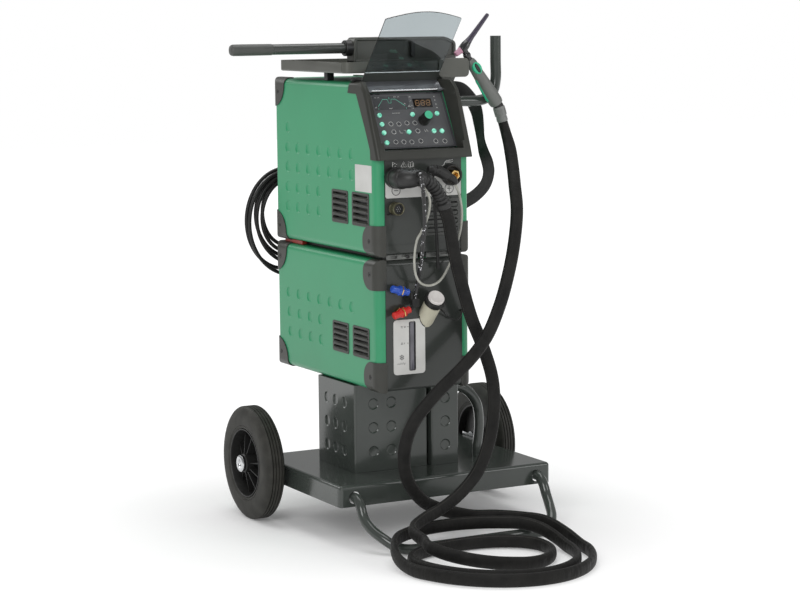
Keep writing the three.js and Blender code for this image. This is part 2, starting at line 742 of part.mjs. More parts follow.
function buildGasTube() {
  const away = gasStart.clone().sub(elbowMid).normalize();
  const from = gasStart.clone().add(away.clone().multiplyScalar(fit));
  const plugEnd = V(66, caseFront - 40, 868);
  const points = [
    from, from.clone().add(away.clone().multiplyScalar(7)), V(-66, -420, 846), V(-58, -414, 820),
    V(-53, -400, 788),
    V(-57, -384, 744), V(-59, -373, 690), V(-49, -364, 654), V(-34, -360, 636), V(-5, -352, 628),
    V(27, -344, 637), V(54, -338, 668), V(73, -332, 704), V(91, -332, 752), V(95, -334, 800),
    V(86, -340, 838), plugEnd.clone().add(V(4.1, -2.2, -8.5)), plugEnd.clone().add(V(0, 0, 1)),
  ];
  // quick coupling at its end, hanging by the positive socket, and a lead that ends below it
  const plug = join(
    bar(V(-6, caseFront - 36, 908), V(14, caseFront - 36, 906), 8, 12, 8),
    bar(V(13.5, caseFront - 36, 906), V(48, caseFront - 38, 890), 13.5, 13.5, 8),
    bar(V(47, caseFront - 38, 890.5), V(66, caseFront - 40, 878), 11, 9, 8),
    bar(V(66, caseFront - 40, 880), plugEnd, 7, 5, 8),
  );
  const lead = cord([
    V(12, caseFront - 32, 902), V(12, caseFront - 26, 880), V(18, caseFront - 24, 850),
    V(21, caseFront - 22, 800),
    V(25, caseFront - 22, 736), V(28, caseFront - 22, 664),
  ], 4, 9, 8);
  put('gas_line', join(solid(cord(points, gasR, 28, 8)), plug, solid(lead)), paint(0x8d9089, 0.4, 0));
}

function buildLeads(blueEnd, redEnd) {
  const away = leadStart.clone().sub(elbowMid).normalize();
  const from = leadStart.clone().add(away.clone().multiplyScalar(fit));
  const ySplit = V(-37, caseFront - 24, 588);
  const bundle = cord([
    from, from.clone().add(away.clone().multiplyScalar(8)), V(-44, -408, 834), V(-40, -388, 800),
    V(-38, -364, 740),
    V(-34, -346, 680), V(-32, -338, 640), V(-35, ySplit.y, 612), V(ySplit.x, ySplit.y, 596),
  ], leadR, 13, 8);
  const split = prismY(roundedRect(ySplit.x - 11, ySplit.x + 9, ySplit.z - 12, ySplit.z + 10, 5),
    ySplit.y - 7, ySplit.y + 7, 2);
  const blue = cord([
    blueEnd, blueEnd.clone().add(V(6, 0, -1.6)), V(-46, ySplit.y, 604), V(ySplit.x - 8, ySplit.y, 595),
    ySplit,
  ], 4, 5, 8);
  const red = cord([
    redEnd, redEnd.clone().add(V(6, 0, 1.8)), V(-46, ySplit.y, 580), V(ySplit.x - 7, ySplit.y, 583), ySplit,
  ], 4, 5, 8);
  put('torch_leads', join(solid(bundle), split, solid(blue), solid(red)), blackRubber);
}

// ---------------------------------------------------------------- cart
function buildCart() {
  const plan = (inset, r) => roundedRect(
    cartMid - cartHalf + inset, cartMid + cartHalf - inset, cartFront + inset, cartRear - inset, r);
  const outer = prismZ(plan(0, cartCorner), skirtBottom, trayFloor);
  const below = prismZ(plan(cartSheet, cartCorner - cartSheet), skirtBottom - 5, trayFloor - cartSheet, 4);
  const holes = [-1, 1].map((s) => bar(
    V(cartMid + s * footHalf, cartFront - 20, footDropZ),
    V(cartMid + s * footHalf, cartFront + 20, footDropZ),
    footTubeR + footHoleGap, footTubeR + footHoleGap, 16));
  put('cart_base', cut(outer, below, ...holes), greyPaint);

  const half = [
    [footHalf, cartFront + 34, footDropZ], [footHalf, cartFront + 8, footDropZ],
    [footHalf, cartFront - 12, footDropZ - 1], [footHalf, -346, 104],
    [footHalf, -361, 79], [252, -385, 58], [237, -420, 38], [212, -447, 19],
    [footBarHalf, footBarY, footTubeR], [footBarHalf - 60, footBarY, footTubeR],
  ];
  const right = half.map(([w, y, z]) => V(cartMid + w, y, z));
  const left = half.map(([w, y, z]) => V(cartMid - w, y, z)).reverse();
  put('foot_tube', tube([...right, ...left], footTubeR, 28), greyPaint);

  // hollow folded columns, open below and above
  const column = (x0, x1, y0, y1, tools) => {
    const z0 = trayFloor + fit;
    const z1 = coolerBottom - fit;
    const walls = prismZ(roundedRect(x0, x1, y0, y1, 8), z0, z1, 4)
      .subtract(prismZ(roundedRect(x0 + 3, x1 - 3, y0 + 3, y1 - 3, 5), z0 - 1, z1 + 1, 4));
    return walls.subtract(join(...tools));
  };
  const mainTools = [];
  [180, 240, 300].forEach((z) => {
    [-132, -83, -37].forEach((y) => mainTools.push(
      bar(V(columnLeft + dimpleDeep, y, z + 20), V(columnLeft - 1, y, z + 20), dimpleR - 2, dimpleR + 1,
        6)));
    [-78, -28].forEach((x) => mainTools.push(dimpleY(columnFront, x, z + 20)));
  });
  put('column_main', column(columnLeft, columnRight, columnFront, columnRear, mainTools), greyPaint);
  const sideTools = [180, 240, 300].map((z) => dimpleY(sideColFront, (sideColLeft + sideColRight) / 2,
    z + 20));
  put('column_side', column(sideColLeft, sideColRight, sideColFront, sideColRear, sideTools), greyPaint);

  put('side_guard_tube', tube([
    V(sideColRight + fit, guardY, 337), V(sideColRight + 20, guardY, 337), V(198, guardY, 331),
    V(222, guardY, 314), V(242, guardY, 283), V(248, guardY, 240), V(246, guardY, 205), V(242, guardY, 180),
    V(242, guardY, trayFloor + fit),
  ], footTubeR, 18), greyPaint);
}

function buildWheels() {
  [-1, 1].forEach((s) => {
    const at = (d) => cartMid + s * d;
    const plate = box(
      Math.min(at(cartHalf + fit), at(cartHalf + 6)), Math.max(at(cartHalf + fit), at(cartHalf + 6)),
      axleY - 34, axleY + 34, wheelR - 34, wheelR + 12);
    const bolts = [-24, 24].map((d) => bar(
      V(at(cartHalf + 5), axleY + d, wheelR - 18), V(at(cartHalf + 9), axleY + d, wheelR - 18), 6, 6, 6));
    const stub = turned([
      [0, 0], [16, 0], [16, hubIn - slack - cartHalf - 5], [axleR, hubIn - slack - cartHalf - 5],
      [axleR, hubOut + slack - cartHalf - 5], [hubCapR, hubOut + slack - cartHalf - 5],
      [hubCapR, hubOut + slack + hubCapLong - 2 - cartHalf - 5],
      [hubCapR - 4, hubOut + slack + hubCapLong - cartHalf - 5],
      [0, hubOut + slack + hubCapLong - cartHalf - 5],
    ], V(at(cartHalf + 5), axleY, wheelR), V(s, 0, 0), 16);
    const name = s < 0 ? 'left' : 'right';
    put(`axle_${name}`, join(plate, ...bolts, stub), steel);
    const width = tyreOuter - tyreInner;
    const ring = [
      [rimR + fit, 3], [wheelR - 26, 0], [wheelR - 8, 4], [wheelR, 12], [wheelR, width - 12],
      [wheelR - 8, width - 4], [wheelR - 26, width], [rimR + fit, width - 3],
      [rimR + fit, 3],
    ];
    const tyre = put(`tyre_${name}`, turned(ring, V(0, 0, 0), V(s, 0, 0), wheelFacets), tyreRubber);
    tyre.position.set(at(tyreInner), axleY, wheelR);

    const lip = 3;
    const barrel = [
      [rimR, lip], [rimR, width - lip], [rimR - 8, width - lip], [rimR - 8, lip], [rimR, lip],
    ];
    const hubLow = hubIn - tyreInner;
    const hubHigh = hubOut - tyreInner;
    const hub = [
      [axleR + slack, hubLow], [hubR, hubLow], [hubR, hubHigh], [axleR + slack, hubHigh],
      [axleR + slack, hubLow],
    ];
    const disc = [
      [hubR - 4, 22], [rimR - 4, 22], [rimR - 4, 26], [hubR - 4, 26], [hubR - 4, 22],
    ];
    const spokes = [];
    for (let i = 0; i < spokeCount; i += 1) {
      const blade = new THREE.BoxGeometry(30, rimR - 9 - hubR + 4, 4);
      blade.translate(width / 2 + 2, (rimR - 9 + hubR) / 2, 0);
      blade.rotateX((i / spokeCount) * 2 * Math.PI);
      if (s < 0) {
        blade.rotateY(Math.PI);
      }
      spokes.push(solid(blade));
    }
    const turn = (profile, facets = wheelFacets) => turned(profile, V(0, 0, 0), V(s, 0, 0), facets);
    const rim = put(`rim_${name}`, join(turn(barrel), turn(hub, 12), turn(disc, wheelFacets), ...spokes),
      blackPlastic);
    rim.position.set(at(tyreInner), axleY, wheelR);
  });
}

// ---------------------------------------------------------------- top tray, box, bars
function buildShelf() {
  const outer = prismZ(roundedRect(shelfLeft, shelfRight, shelfFront, shelfRear, 18), shelfBottom, shelfTop);
  const inner = prismZ(roundedRect(
    shelfLeft + shelfSheet, shelfRight - shelfSheet, shelfFront + shelfSheet, shelfRear - shelfSheet, 15),
  shelfBottom + shelfSheet, shelfTop + 5);
  const rimHoles = [-70, 10].map((x) => bar(
    V(x, shelfFront - 3, shelfTop - 9), V(x, shelfFront + 8, shelfTop - 9), 3.2, 3.2, 10));
  const posts = [[-112, -36], [110, -36], [100, 140]].map(([x, y]) => box(
    x - postHalf, x + postHalf, y - postHalf, y + postHalf, powerTop + fit, shelfBottom + 1));
  // bracket down to the hook's arm, with a gusset
  const bracket = box(caseHalf + 4, caseHalf + 34, hookY - 17, hookY + 17, hookArmZ - 19, shelfBottom + 1);
  const gusset = prismY(outline([
    [caseHalf + 33, shelfBottom + 1], [caseHalf + 33, shelfBottom - 56], [shelfRight - 4, shelfBottom + 1],
  ]), hookY - 3, hookY + 3);
  put('tray', join(cut(outer, inner, ...rimHoles), ...posts, bracket, gusset), greyPaint);

  const floor = shelfBottom + shelfSheet + fit;
  const right = shelfRight - shelfSheet - fit;
  const lower = box(boxLeft, right, boxFront, boxRear, floor, shelfTop + 3);
  const upper = prismY(outline([
    [boxLeft, shelfTop + 2], [boxRight, shelfTop + 2], [boxRight, boxTop - 14], [boxRight - 30, boxTop],
    [boxLeft, boxTop],
  ]), boxFront, boxRear);
  const slot = prismY(roundedRect(84, 96, shelfTop + 8, boxTop - 8, 5), boxFront - 6, boxFront + 1, 4);
  put('holder_box', join(lower, upper, slot), blackPlastic);

  const grip = barEnd + 110;
  const push = turned([
    [0, 0], [barR - 4, 0], [barR, 4], [barR, grip - barEnd], [barR - 0.5, grip - barEnd],
    [barR - 0.5, boxLeft - fit - barEnd], [0, boxLeft - fit - barEnd],
  ], V(barEnd, barY, barZ), V(1, 0, 0), 20);
  put('push_bar', push, greyPaint);

  put('hose_hook', tube([
    V(caseHalf + 34 + fit, hookY, hookArmZ), V(200, hookY, hookArmZ), V(248, hookY, hookArmZ),
    V(277, hookY, hookArmZ + 7), V(294, hookY, hookArmZ + 24), V(hookX, hookY, hookArmZ + 52),
    V(hookX, hookY, 1160), V(hookX, hookY, hookTop),
  ], barR, 18), greyPaint);
}

// ---------------------------------------------------------------- torch
const torchY = hookY - barR - slack - 17;
const torchTop = V(207, torchY, 1163);
const torchLow = V(291, torchY, 1044);
const collarLow = V(303, torchY, 1006);
const keyWide = 9;
const keyLong = 26;
const keyThick = 8;
const keyTravel = 2;
const keyOut = 17;               // how far its face stands from the handle's axis

function buildTorch() {
  const down = torchLow.clone().sub(torchTop).normalize();
  const flat = turned([
    [0, 0], [9, 0], [12, 5], [14, 25], [14, 62], [16, 82], [16, 132], [14.5, 142],
    [14.5, torchTop.distanceTo(torchLow)],
    [0, torchTop.distanceTo(torchLow)],
  ], torchTop, down, 10);
  const collar = bar(torchLow.clone().sub(down.clone().multiplyScalar(1)), collarLow, 14.5, 12, 10);
  // thumb switch in a pocket on the front of the handle
  const mid = torchTop.clone().add(down.clone().multiplyScalar(26));
  const turn = new THREE.Quaternion().setFromUnitVectors(V(0, 0, -1), down);
  const block = (wide, deep, long, front) => {
    const geometry = new THREE.BoxGeometry(wide, deep, long);
    geometry.applyQuaternion(turn);
    geometry.translate(mid.x, mid.y - front + deep / 2, mid.z);
    return solid(geometry);
  };
  const pocket = block(keyWide + 2 * slack, keyThick + keyTravel + fit + 5, keyLong + 2 * slack, keyOut + 5);
  put('torch_handle', join(flat, collar).subtract(pocket), blackPlastic);
  put('torch_trigger', block(keyWide, keyThick, keyLong, keyOut), paint(0x2aa36e, 0.4, 0));
  const headMid = V(190, torchY, 1192);
  const nose = V(167, torchY, 1176);
  const tip = V(261, torchY, 1275);
  const neckEnd = torchTop.clone().sub(down.clone().multiplyScalar(fit));
  const neckTop = torchTop.clone().sub(down.clone().multiplyScalar(30));
  const head = join(
    bar(nose, headMid, 8, 11, 14),
    bar(headMid, V(200, torchY, 1204), 12.5, 12.5, 14),
    bar(V(199, torchY, 1202.5), tip, 9, 4.5, 12),
    bar(neckTop, neckEnd, 8.5, 8.5, 12),
  );
  put('torch_head', head, blackRubber);
}

// ---------------------------------------------------------------- strap
function buildStrap() {
  const y = hookY + 38;
  const stations = [
    [caseHalf + fit, 1084, 90, 0], [150, 1086, 90, 0], [185, 1092, 88, 0], [222, 1088, 70, 0],
    [250, 1064, 40, 0],
    [268, 1030, 12, 2], [275, 995, 6, 5], [280, 960, 4, 30], [284, 935, 4, 80], [290, 900, 4, 30],
    [296, 866, -8, 5], [290, 836, -35, 0], [262, 808, -60, 0], [218, 786, -66, 0], [172, 758, -72, 0],
    [150, 748, -88, 0], [caseHalf + fit, 746, -90, 0],
  ];
  const wide = 33;
  const thick = 2.6;
  const rings = stations.map(([x, z, lean, twist]) => {
    // the width lies across the run in the plane of the hook, turned out of it by the twist
    const a = THREE.MathUtils.degToRad(lean);
    const t = THREE.MathUtils.degToRad(twist);
    const across = V(Math.cos(a) * Math.cos(t), -Math.sin(t), Math.sin(a) * Math.cos(t));
    const run = V(Math.sin(a), 0, -Math.cos(a));
    const out = across.clone().cross(run).normalize();
    const p = V(x, y, z);
    const corner = (u, v) => p.clone().add(across.clone().multiplyScalar((u * wide) / 2))
      .add(out.clone().multiplyScalar((v * thick) / 2));
    return [corner(1, 1), corner(1, -1), corner(-1, -1), corner(-1, 1)];
  });
  put('strap', lofted(rings), paint(0x1a1a1a, 0.85, 0));
}

// ---------------------------------------------------------------- torch hose
// the coil's reach from its middle at each turn: back, right, front, left
function reach(knots, at, first) {
  const s = Math.max(0, at - first);
  const i = Math.min(Math.floor(s), knots.length - 2);
  return knots[i] + (knots[i + 1] - knots[i]) * (s - i);
}

function coilPoint(t) {
  const a = Math.PI / 2 - t * 2 * Math.PI;
  const c = Math.cos(a);
  const s = Math.sin(a);
  const x = coilMid[0] + c * (c > 0 ? reach([262, 202, 148, 120], t, 0.25) : reach([234, 200, 166, 130],
    t, 0.75));
  const y = coilMid[1] + s * (s > 0 ? reach([268, 182, 114, 90], t, 0) : reach([264, 230, 132, 100], t,
    0.5));
  const overBar = t < 1.6 ? 33 * smooth(-560, -480, y) : 0;
  const rise = 40 * smooth(2.42, 2.8, t);
  return V(x, y, hoseR + coilFloor + overBar + rise);
}

function coilPoints() {
  const steps = Math.round((coilEnd - coilStart) * 24);
  const points = [];
  for (let i = 0; i <= steps; i += 1) {
    points.push(coilPoint(coilStart + ((coilEnd - coilStart) * i) / steps));
  }
  const first = points[0].clone().sub(points[1]).normalize();
  const last = points[steps].clone().sub(points[steps - 1]).normalize();
  const straight = 2 * hoseR;
  points.unshift(points[0].clone().add(first.multiplyScalar(straight)));
  points.push(points[steps + 1].clone().add(last.multiplyScalar(straight)));
  return points;
}

// least distance between parts of a winding that are more than a short way apart along it
function selfGap(points, r, away) {
  const fine = new THREE.CatmullRomCurve3(points, false, 'centripetal').getSpacedPoints(points.length * 4);
  const step = fine[0].distanceTo(fine[1]);
  let least = Infinity;
  for (let i = 0; i < fine.length; i += 1) {
    for (let j = i + Math.ceil(away / step); j < fine.length; j += 1) {
      least = Math.min(least, fine[i].distanceTo(fine[j]));
    }
  }
  return least - 2 * r;
}

function buildHose() {
  const coil = coilPoints();
  putCord('hose_coil', lofted(tubeRings(coil, () => hoseR, 6)), blackRubber);
  console.log('least gap in the floor coil', selfGap(coil, hoseR, 6 * hoseR).toFixed(2));
  const ahead = (points, i, j, d) => points[i].clone()
    .add(points[i].clone().sub(points[j]).normalize().multiplyScalar(d));
  const n = coil.length - 1;
  const boot = bootPath[bootPath.length - 1];
  const bootWay = boot.clone().sub(bootPath[bootPath.length - 2]).normalize();
  putCord('hose_a', cord([
    boot.clone().add(bootWay.clone().multiplyScalar(fit + 0.1)),
    boot.clone().add(bootWay.clone().multiplyScalar(28)),
    V(55, -368, 700), V(83, -361, 610), V(110, -354, 538), V(143, -354, 462), V(163, -362, 385),
    V(160, -373, 312), V(141, -382, 237), V(102, -396, 170), V(36, -418, 121), V(-31, -440, 94),
    V(-95, -466, 80), V(-140, -500, 68),
    ahead(coil, n, n - 1, 2 * hoseR), ahead(coil, n, n - 1, fit),
  ], hoseR, 26), blackRubber);
  const collarWay = collarLow.clone().sub(torchLow).normalize();
  putCord('hose_b', cord([
    collarLow.clone().add(collarWay.clone().multiplyScalar(fit)),
    collarLow.clone().add(collarWay.clone().multiplyScalar(28)),
    V(314, -195, 945), V(307, -220, 905), V(289, -262, 850), V(278, -290, 791), V(252, -318, 708),
    V(219, -345, 638),
    V(179, -372, 570), V(128, -398, 502), V(83, -408, 458), V(45, -409, 425), V(-21, -403, 369),
    V(-78, -392, 300),
    V(-96, -382, 232), V(-84, -373, 166), V(-50, -366, 115), V(-8, -354, 84),
    ahead(coil, 0, 1, 2 * hoseR), ahead(coil, 0, 1, fit),
  ], hoseR, 31), blackRubber);
}

// ---------------------------------------------------------------- mains cable
// hank: half the loops spiral in, the next layer spirals out again
function hankPoint(t) {
  const half = hankLoops / 2;
  const depth = t <= half ? t : hankLoops - t;
  const layer = smooth(half - 0.25, half + 0.25, t);
  const tail = 24 * smooth(hankLoops - 0.5, hankLoops, t);
  const a = -t * 2 * Math.PI;
  const inward = depth * hankPitch;
  return V(
    hankMid[0] + Math.cos(a) * (hankHalf[0] - inward),
    hankY + layer * hankPitch + tail,
    hankMid[1] + Math.sin(a) * (hankHalf[1] - inward),
  );
}

function buildMains() {
  const points = [];
  const steps = hankLoops * 16;
  for (let i = 0; i <= steps; i += 1) {
    points.push(hankPoint((hankLoops * i) / steps));
  }
  const dia = 2 * mainsR;
  points.unshift(points[0].clone().add(V(0, 0, dia)));
  points.push(points[steps + 1].clone().add(V(0, 0, -dia)));
  putCord('mains_hank', lofted(tubeRings(points, () => mainsR, 6, V(0, 1, 0))), blackRubber);
  console.log('least gap in the mains hank', selfGap(points, mainsR, 6 * mainsR).toFixed(2));
  const glandEnd = caseRear + glandLong + fit;
  const [x, z] = glandAt;
  putCord('mains_lead', cord([
    V(x, glandEnd, z), V(x, glandEnd + 10, z), V(x, hankY - 2, z - 10), V(x, hankY + 5, 806),
    V(x, hankY, 766),
    points[0].clone().add(V(0, 0, dia)), points[0].clone().add(V(0, 0, fit)),
  ], mainsR, 14), blackRubber);
  const end = points[points.length - 1];
  const plug = turned([
    [0, 0], [8, 0], [9, 14], [17, 22], [17, 62], [14, 64], [14, 84], [0, 84],
  ], V(end.x, end.y, end.z - fit), V(0, 0, -1), 16);
  putCord('mains_plug', plug, blackPlastic);
}

// ---------------------------------------------------------------- assembly
buildCart();
buildWheels();
buildCooler();
buildFiller();
const blueEnd = coupling('coupling_blue', -76, 618, paint(0x1c4fb4, 0.35, 0), -0.25);
const redEnd = coupling('coupling_red', -72, 565, paint(0xc3281f, 0.35, 0), 0.3);
buildRails();
buildPower();
buildBezel();
buildFlap();
buildPanel();
buildFrontFittings();
buildBoot();
buildGasTube();
buildLeads(blueEnd, redEnd);
buildShelf();
buildTorch();
buildStrap();
buildHose();
buildMains();

// the origin sits under the middle of the object without its loose cords
const group = new THREE.Group();
group.add(machine);
machine.updateMatrixWorld(true);
const bounds = new THREE.Box3();
machine.traverse((node) => {
  if (node.isMesh && !cordNames.includes(node.name)) {
    node.geometry.computeBoundingBox();
    bounds.union(node.geometry.boundingBox.clone().applyMatrix4(node.matrixWorld));
  }
});
machine.position.set(-(bounds.min.x + bounds.max.x) / 2, -(bounds.min.y + bounds.max.y) / 2, -bounds.min.z);
console.log('origin moved by', machine.position.toArray().map((v) => v.toFixed(3)).join(' '));

export default group;
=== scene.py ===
"""A welding set on a two-wheel cart: power source, water cooler, torch and hose, tray and bars."""
import math

import bpy
from mathutils import Matrix, Vector, noise


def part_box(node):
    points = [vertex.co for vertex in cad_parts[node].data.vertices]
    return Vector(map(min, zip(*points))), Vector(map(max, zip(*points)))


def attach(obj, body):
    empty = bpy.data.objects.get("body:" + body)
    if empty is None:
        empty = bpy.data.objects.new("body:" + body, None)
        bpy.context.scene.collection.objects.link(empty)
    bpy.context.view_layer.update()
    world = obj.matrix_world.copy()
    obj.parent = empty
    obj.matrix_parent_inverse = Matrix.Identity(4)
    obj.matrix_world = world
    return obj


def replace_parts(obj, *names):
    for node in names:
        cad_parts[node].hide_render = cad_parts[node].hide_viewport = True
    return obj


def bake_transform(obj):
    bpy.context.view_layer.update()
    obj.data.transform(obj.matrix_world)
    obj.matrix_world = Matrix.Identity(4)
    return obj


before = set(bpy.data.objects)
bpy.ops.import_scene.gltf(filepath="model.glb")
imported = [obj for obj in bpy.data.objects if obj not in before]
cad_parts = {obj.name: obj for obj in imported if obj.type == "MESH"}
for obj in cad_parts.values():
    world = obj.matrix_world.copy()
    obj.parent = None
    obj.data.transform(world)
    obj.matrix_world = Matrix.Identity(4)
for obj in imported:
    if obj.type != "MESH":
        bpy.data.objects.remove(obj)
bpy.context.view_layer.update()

# ---------------------------------------------------------------- camera
# The photograph was taken from the front left, a little above the top tray, with a long lens.
# Places are given from the middle of the machine's front, and SHIFT carries them into the frame.
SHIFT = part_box("cooler_shell")[0] - Vector((-0.130, -0.312, 0.370))


def at(x, y, z):
    return Vector((x, y, z)) + SHIFT


LOOK_TURN = -28.27
LOOK_DOWN = 7.44
LOOK_ROLL = -0.53
LENS_MM = 102.13
SENSOR_MM = 36.0
camera = bpy.data.objects.new("photo_camera", bpy.data.cameras.new("photo_camera"))
bpy.context.scene.collection.objects.link(camera)
camera.data.sensor_width = SENSOR_MM
camera.data.lens = LENS_MM
camera.data.clip_end = 60.0
camera.matrix_world = (
    Matrix.Translation(at(-2.64245, -5.10296, 1.30282))
    @ Matrix.Rotation(math.radians(LOOK_TURN), 4, "Z")
    @ Matrix.Rotation(math.radians(90.0 - LOOK_DOWN), 4, "X")
    @ Matrix.Rotation(math.radians(LOOK_ROLL), 4, "Z")
)
bpy.context.scene.camera = camera

# ---------------------------------------------------------------- studio
# A pale floor that keeps the shadow near the machine and runs out into a white room.
# Two large soft lamps in front, one above and one behind.
bpy.context.scene.view_settings.view_transform = "Standard"


def new_material(name):
    made = bpy.data.materials.new(name)
    made.use_nodes = True
    nodes = made.node_tree.nodes
    return made, nodes, made.node_tree.links, nodes["Principled BSDF"]


def new_node(nodes, kind, **values):
    """A shader node with constants on its inputs; an underscore stands for the space in an input's name."""
    made = nodes.new("ShaderNode" + kind)
    for key, value in values.items():
        made.inputs[key.replace("_", " ")].default_value = value
    return made


def new_ramp(nodes, *stops):
    """A colour ramp between two stops of (position, colour)."""
    made = nodes.new("ShaderNodeValToRGB")
    for element, (position, color) in zip(made.color_ramp.elements, stops):
        element.position = position
        element.color = color
    return made


def deselect():
    bpy.ops.object.select_all(action="DESELECT")


def select_only(piece):
    deselect()
    piece.select_set(True)
    bpy.context.view_layer.objects.active = piece


deselect()
bpy.ops.mesh.primitive_plane_add(size=30.0, location=(0, 0, 0))
floor = bpy.context.object
floor.name = "studio_floor"
floor_paint, nodes, links, shader = new_material("studio_floor")
shader.inputs["Base Color"].default_value = (1, 1, 1, 1)
shader.inputs["Roughness"].default_value = 0.9
shader.inputs["Specular IOR Level"].default_value = 0.1
spot = nodes.new("ShaderNodeTexCoord")
reach = nodes.new("ShaderNodeVectorMath")
reach.operation = "LENGTH"
links.new(spot.outputs["Object"], reach.inputs[0])
fade = nodes.new("ShaderNodeMapRange")
fade.interpolation_type = "SMOOTHSTEP"
fade.inputs["From Min"].default_value = 0.35
fade.inputs["From Max"].default_value = 1.25
fade.inputs["To Min"].default_value = 0.10
links.new(reach.outputs["Value"], fade.inputs["Value"])
glow = new_node(nodes, "Emission", Strength=1.15)
mix = nodes.new("ShaderNodeMixShader")
links.new(fade.outputs["Result"], mix.inputs["Fac"])
links.new(shader.outputs[0], mix.inputs[1])
links.new(glow.outputs[0], mix.inputs[2])
links.new(mix.outputs[0], nodes["Material Output"].inputs["Surface"])
floor.data.materials.append(floor_paint)

world = bpy.data.worlds.new("studio")
world.use_nodes = True
bpy.context.scene.world = world
nodes, links = world.node_tree.nodes, world.node_tree.links
light_path = nodes.new("ShaderNodeLightPath")
seen = nodes.new("ShaderNodeMath")
seen.operation = "MAXIMUM"
links.new(light_path.outputs["Is Camera Ray"], seen.inputs[0])
links.new(light_path.outputs["Is Transmission Ray"], seen.inputs[1])
level = new_node(nodes, "MapRange", To_Min=0.36, To_Max=1.0)
links.new(seen.outputs[0], level.inputs["Value"])
links.new(level.outputs["Result"], nodes["Background"].inputs["Strength"])
nodes["Background"].inputs["Color"].default_value = (1, 1, 1, 1)

for name, place, size, power in (
    ("lamp_left", (-2.6, -2.9, 2.4), 1.8, 62.0),
    ("lamp_right", (2.4, -3.0, 2.0), 1.6, 26.0),
    ("lamp_top", (0.2, 0.2, 3.6), 2.2, 46.0),
    ("lamp_back", (-1.6, 2.8, 2.6), 1.8, 30.0),
):
    lamp = bpy.data.objects.new(name, bpy.data.lights.new(name, "AREA"))
    lamp.data.size = size
    lamp.data.energy = power
    lamp.location = place
    lamp.rotation_euler = (Vector((0, 0, 0.6)) - Vector(place)).to_track_quat("-Z", "Y").to_euler()
    bpy.context.scene.collection.objects.link(lamp)

# ---------------------------------------------------------------- torch hose
# Water, gas and current run to the torch in one flat jacket of coated fabric, stitched along one edge.
# It hangs from the handle, lies in a loose coil over the foot bar, and climbs to the ribbed boot.
JACKET_WIDE = 0.032
JACKET_THICK = 0.019
COIL_MID = (0.010, -0.605)
COIL_START = 0.06
COIL_END = 2.8
HOSE_LIFT = 0.003
HOSE_STEP = 0.006
NARROW_END_STEPS = 400
FULLEST = 0.09


def smooth_step(a, b, x):
    s = min(1.0, max(0.0, (x - a) / (b - a)))
    return s * s * (3 - 2 * s)


def route(points, spacing):
    """A smooth curve through the points, walked in even steps."""
    ends = [2 * points[0] - points[1], *points, 2 * points[-1] - points[-2]]
    fine = []
    for i in range(len(points) - 1):
        p = ends[i:i + 4]
        d = [max((p[k + 1] - p[k]).length, 1e-9) ** 0.5 for k in range(3)]
        t1 = ((p[1] - p[0]) / d[0] - (p[2] - p[0]) / (d[0] + d[1]) + (p[2] - p[1]) / d[1]) * d[1]
        t2 = ((p[2] - p[1]) / d[1] - (p[3] - p[1]) / (d[1] + d[2]) + (p[3] - p[2]) / d[2]) * d[1]
        for k in range(24):
            u = k / 24
            fine.append(p[1] * (2 * u ** 3 - 3 * u ** 2 + 1) + t1 * (u ** 3 - 2 * u ** 2 + u)
                        + p[2] * (3 * u ** 2 - 2 * u ** 3) + t2 * (u ** 3 - u ** 2))
    fine.append(points[-1].copy())
    run = [0.0]
    for a, b in zip(fine, fine[1:]):
        run.append(run[-1] + (b - a).length)
    count = max(2, round(run[-1] / spacing))
    walked, j = [], 0
    for i in range(count + 1):
        goal = run[-1] * i / count
        while j < len(fine) - 2 and run[j + 1] < goal:
            j += 1
        share = (goal - run[j]) / max(run[j + 1] - run[j], 1e-12)
        walked.append(fine[j].lerp(fine[j + 1], share))
    return walked, run[-1]


def wound(knots, turn, first):
    """How far a loop reaches from the coil's middle, between the values measured at each turn."""
    s = max(0.0, turn - first)
    i = min(int(s), len(knots) - 2)
    return knots[i] + (knots[i + 1] - knots[i]) * (s - i)


def coil_point(turn):
    angle = math.pi / 2 - turn * 2 * math.pi
    c, s = math.cos(angle), math.sin(angle)
    side = (0.236, 0.198, 0.150, 0.120) if c > 0 else (0.234, 0.200, 0.166, 0.130)
    ahead = (0.268, 0.182, 0.114, 0.090) if s > 0 else (0.264, 0.230, 0.132, 0.100)
    x = COIL_MID[0] + c * wound(side, turn, 0.25 if c > 0 else 0.75)
    y = COIL_MID[1] + s * wound(ahead, turn, 0 if s > 0 else 0.5)
    over_bar = 0.033 * smooth_step(-0.640, -0.487, y) if turn < 1.6 else 0.0
    return at(x, y, 0.015 + over_bar + 0.040 * smooth_step(2.42, 2.8, turn))


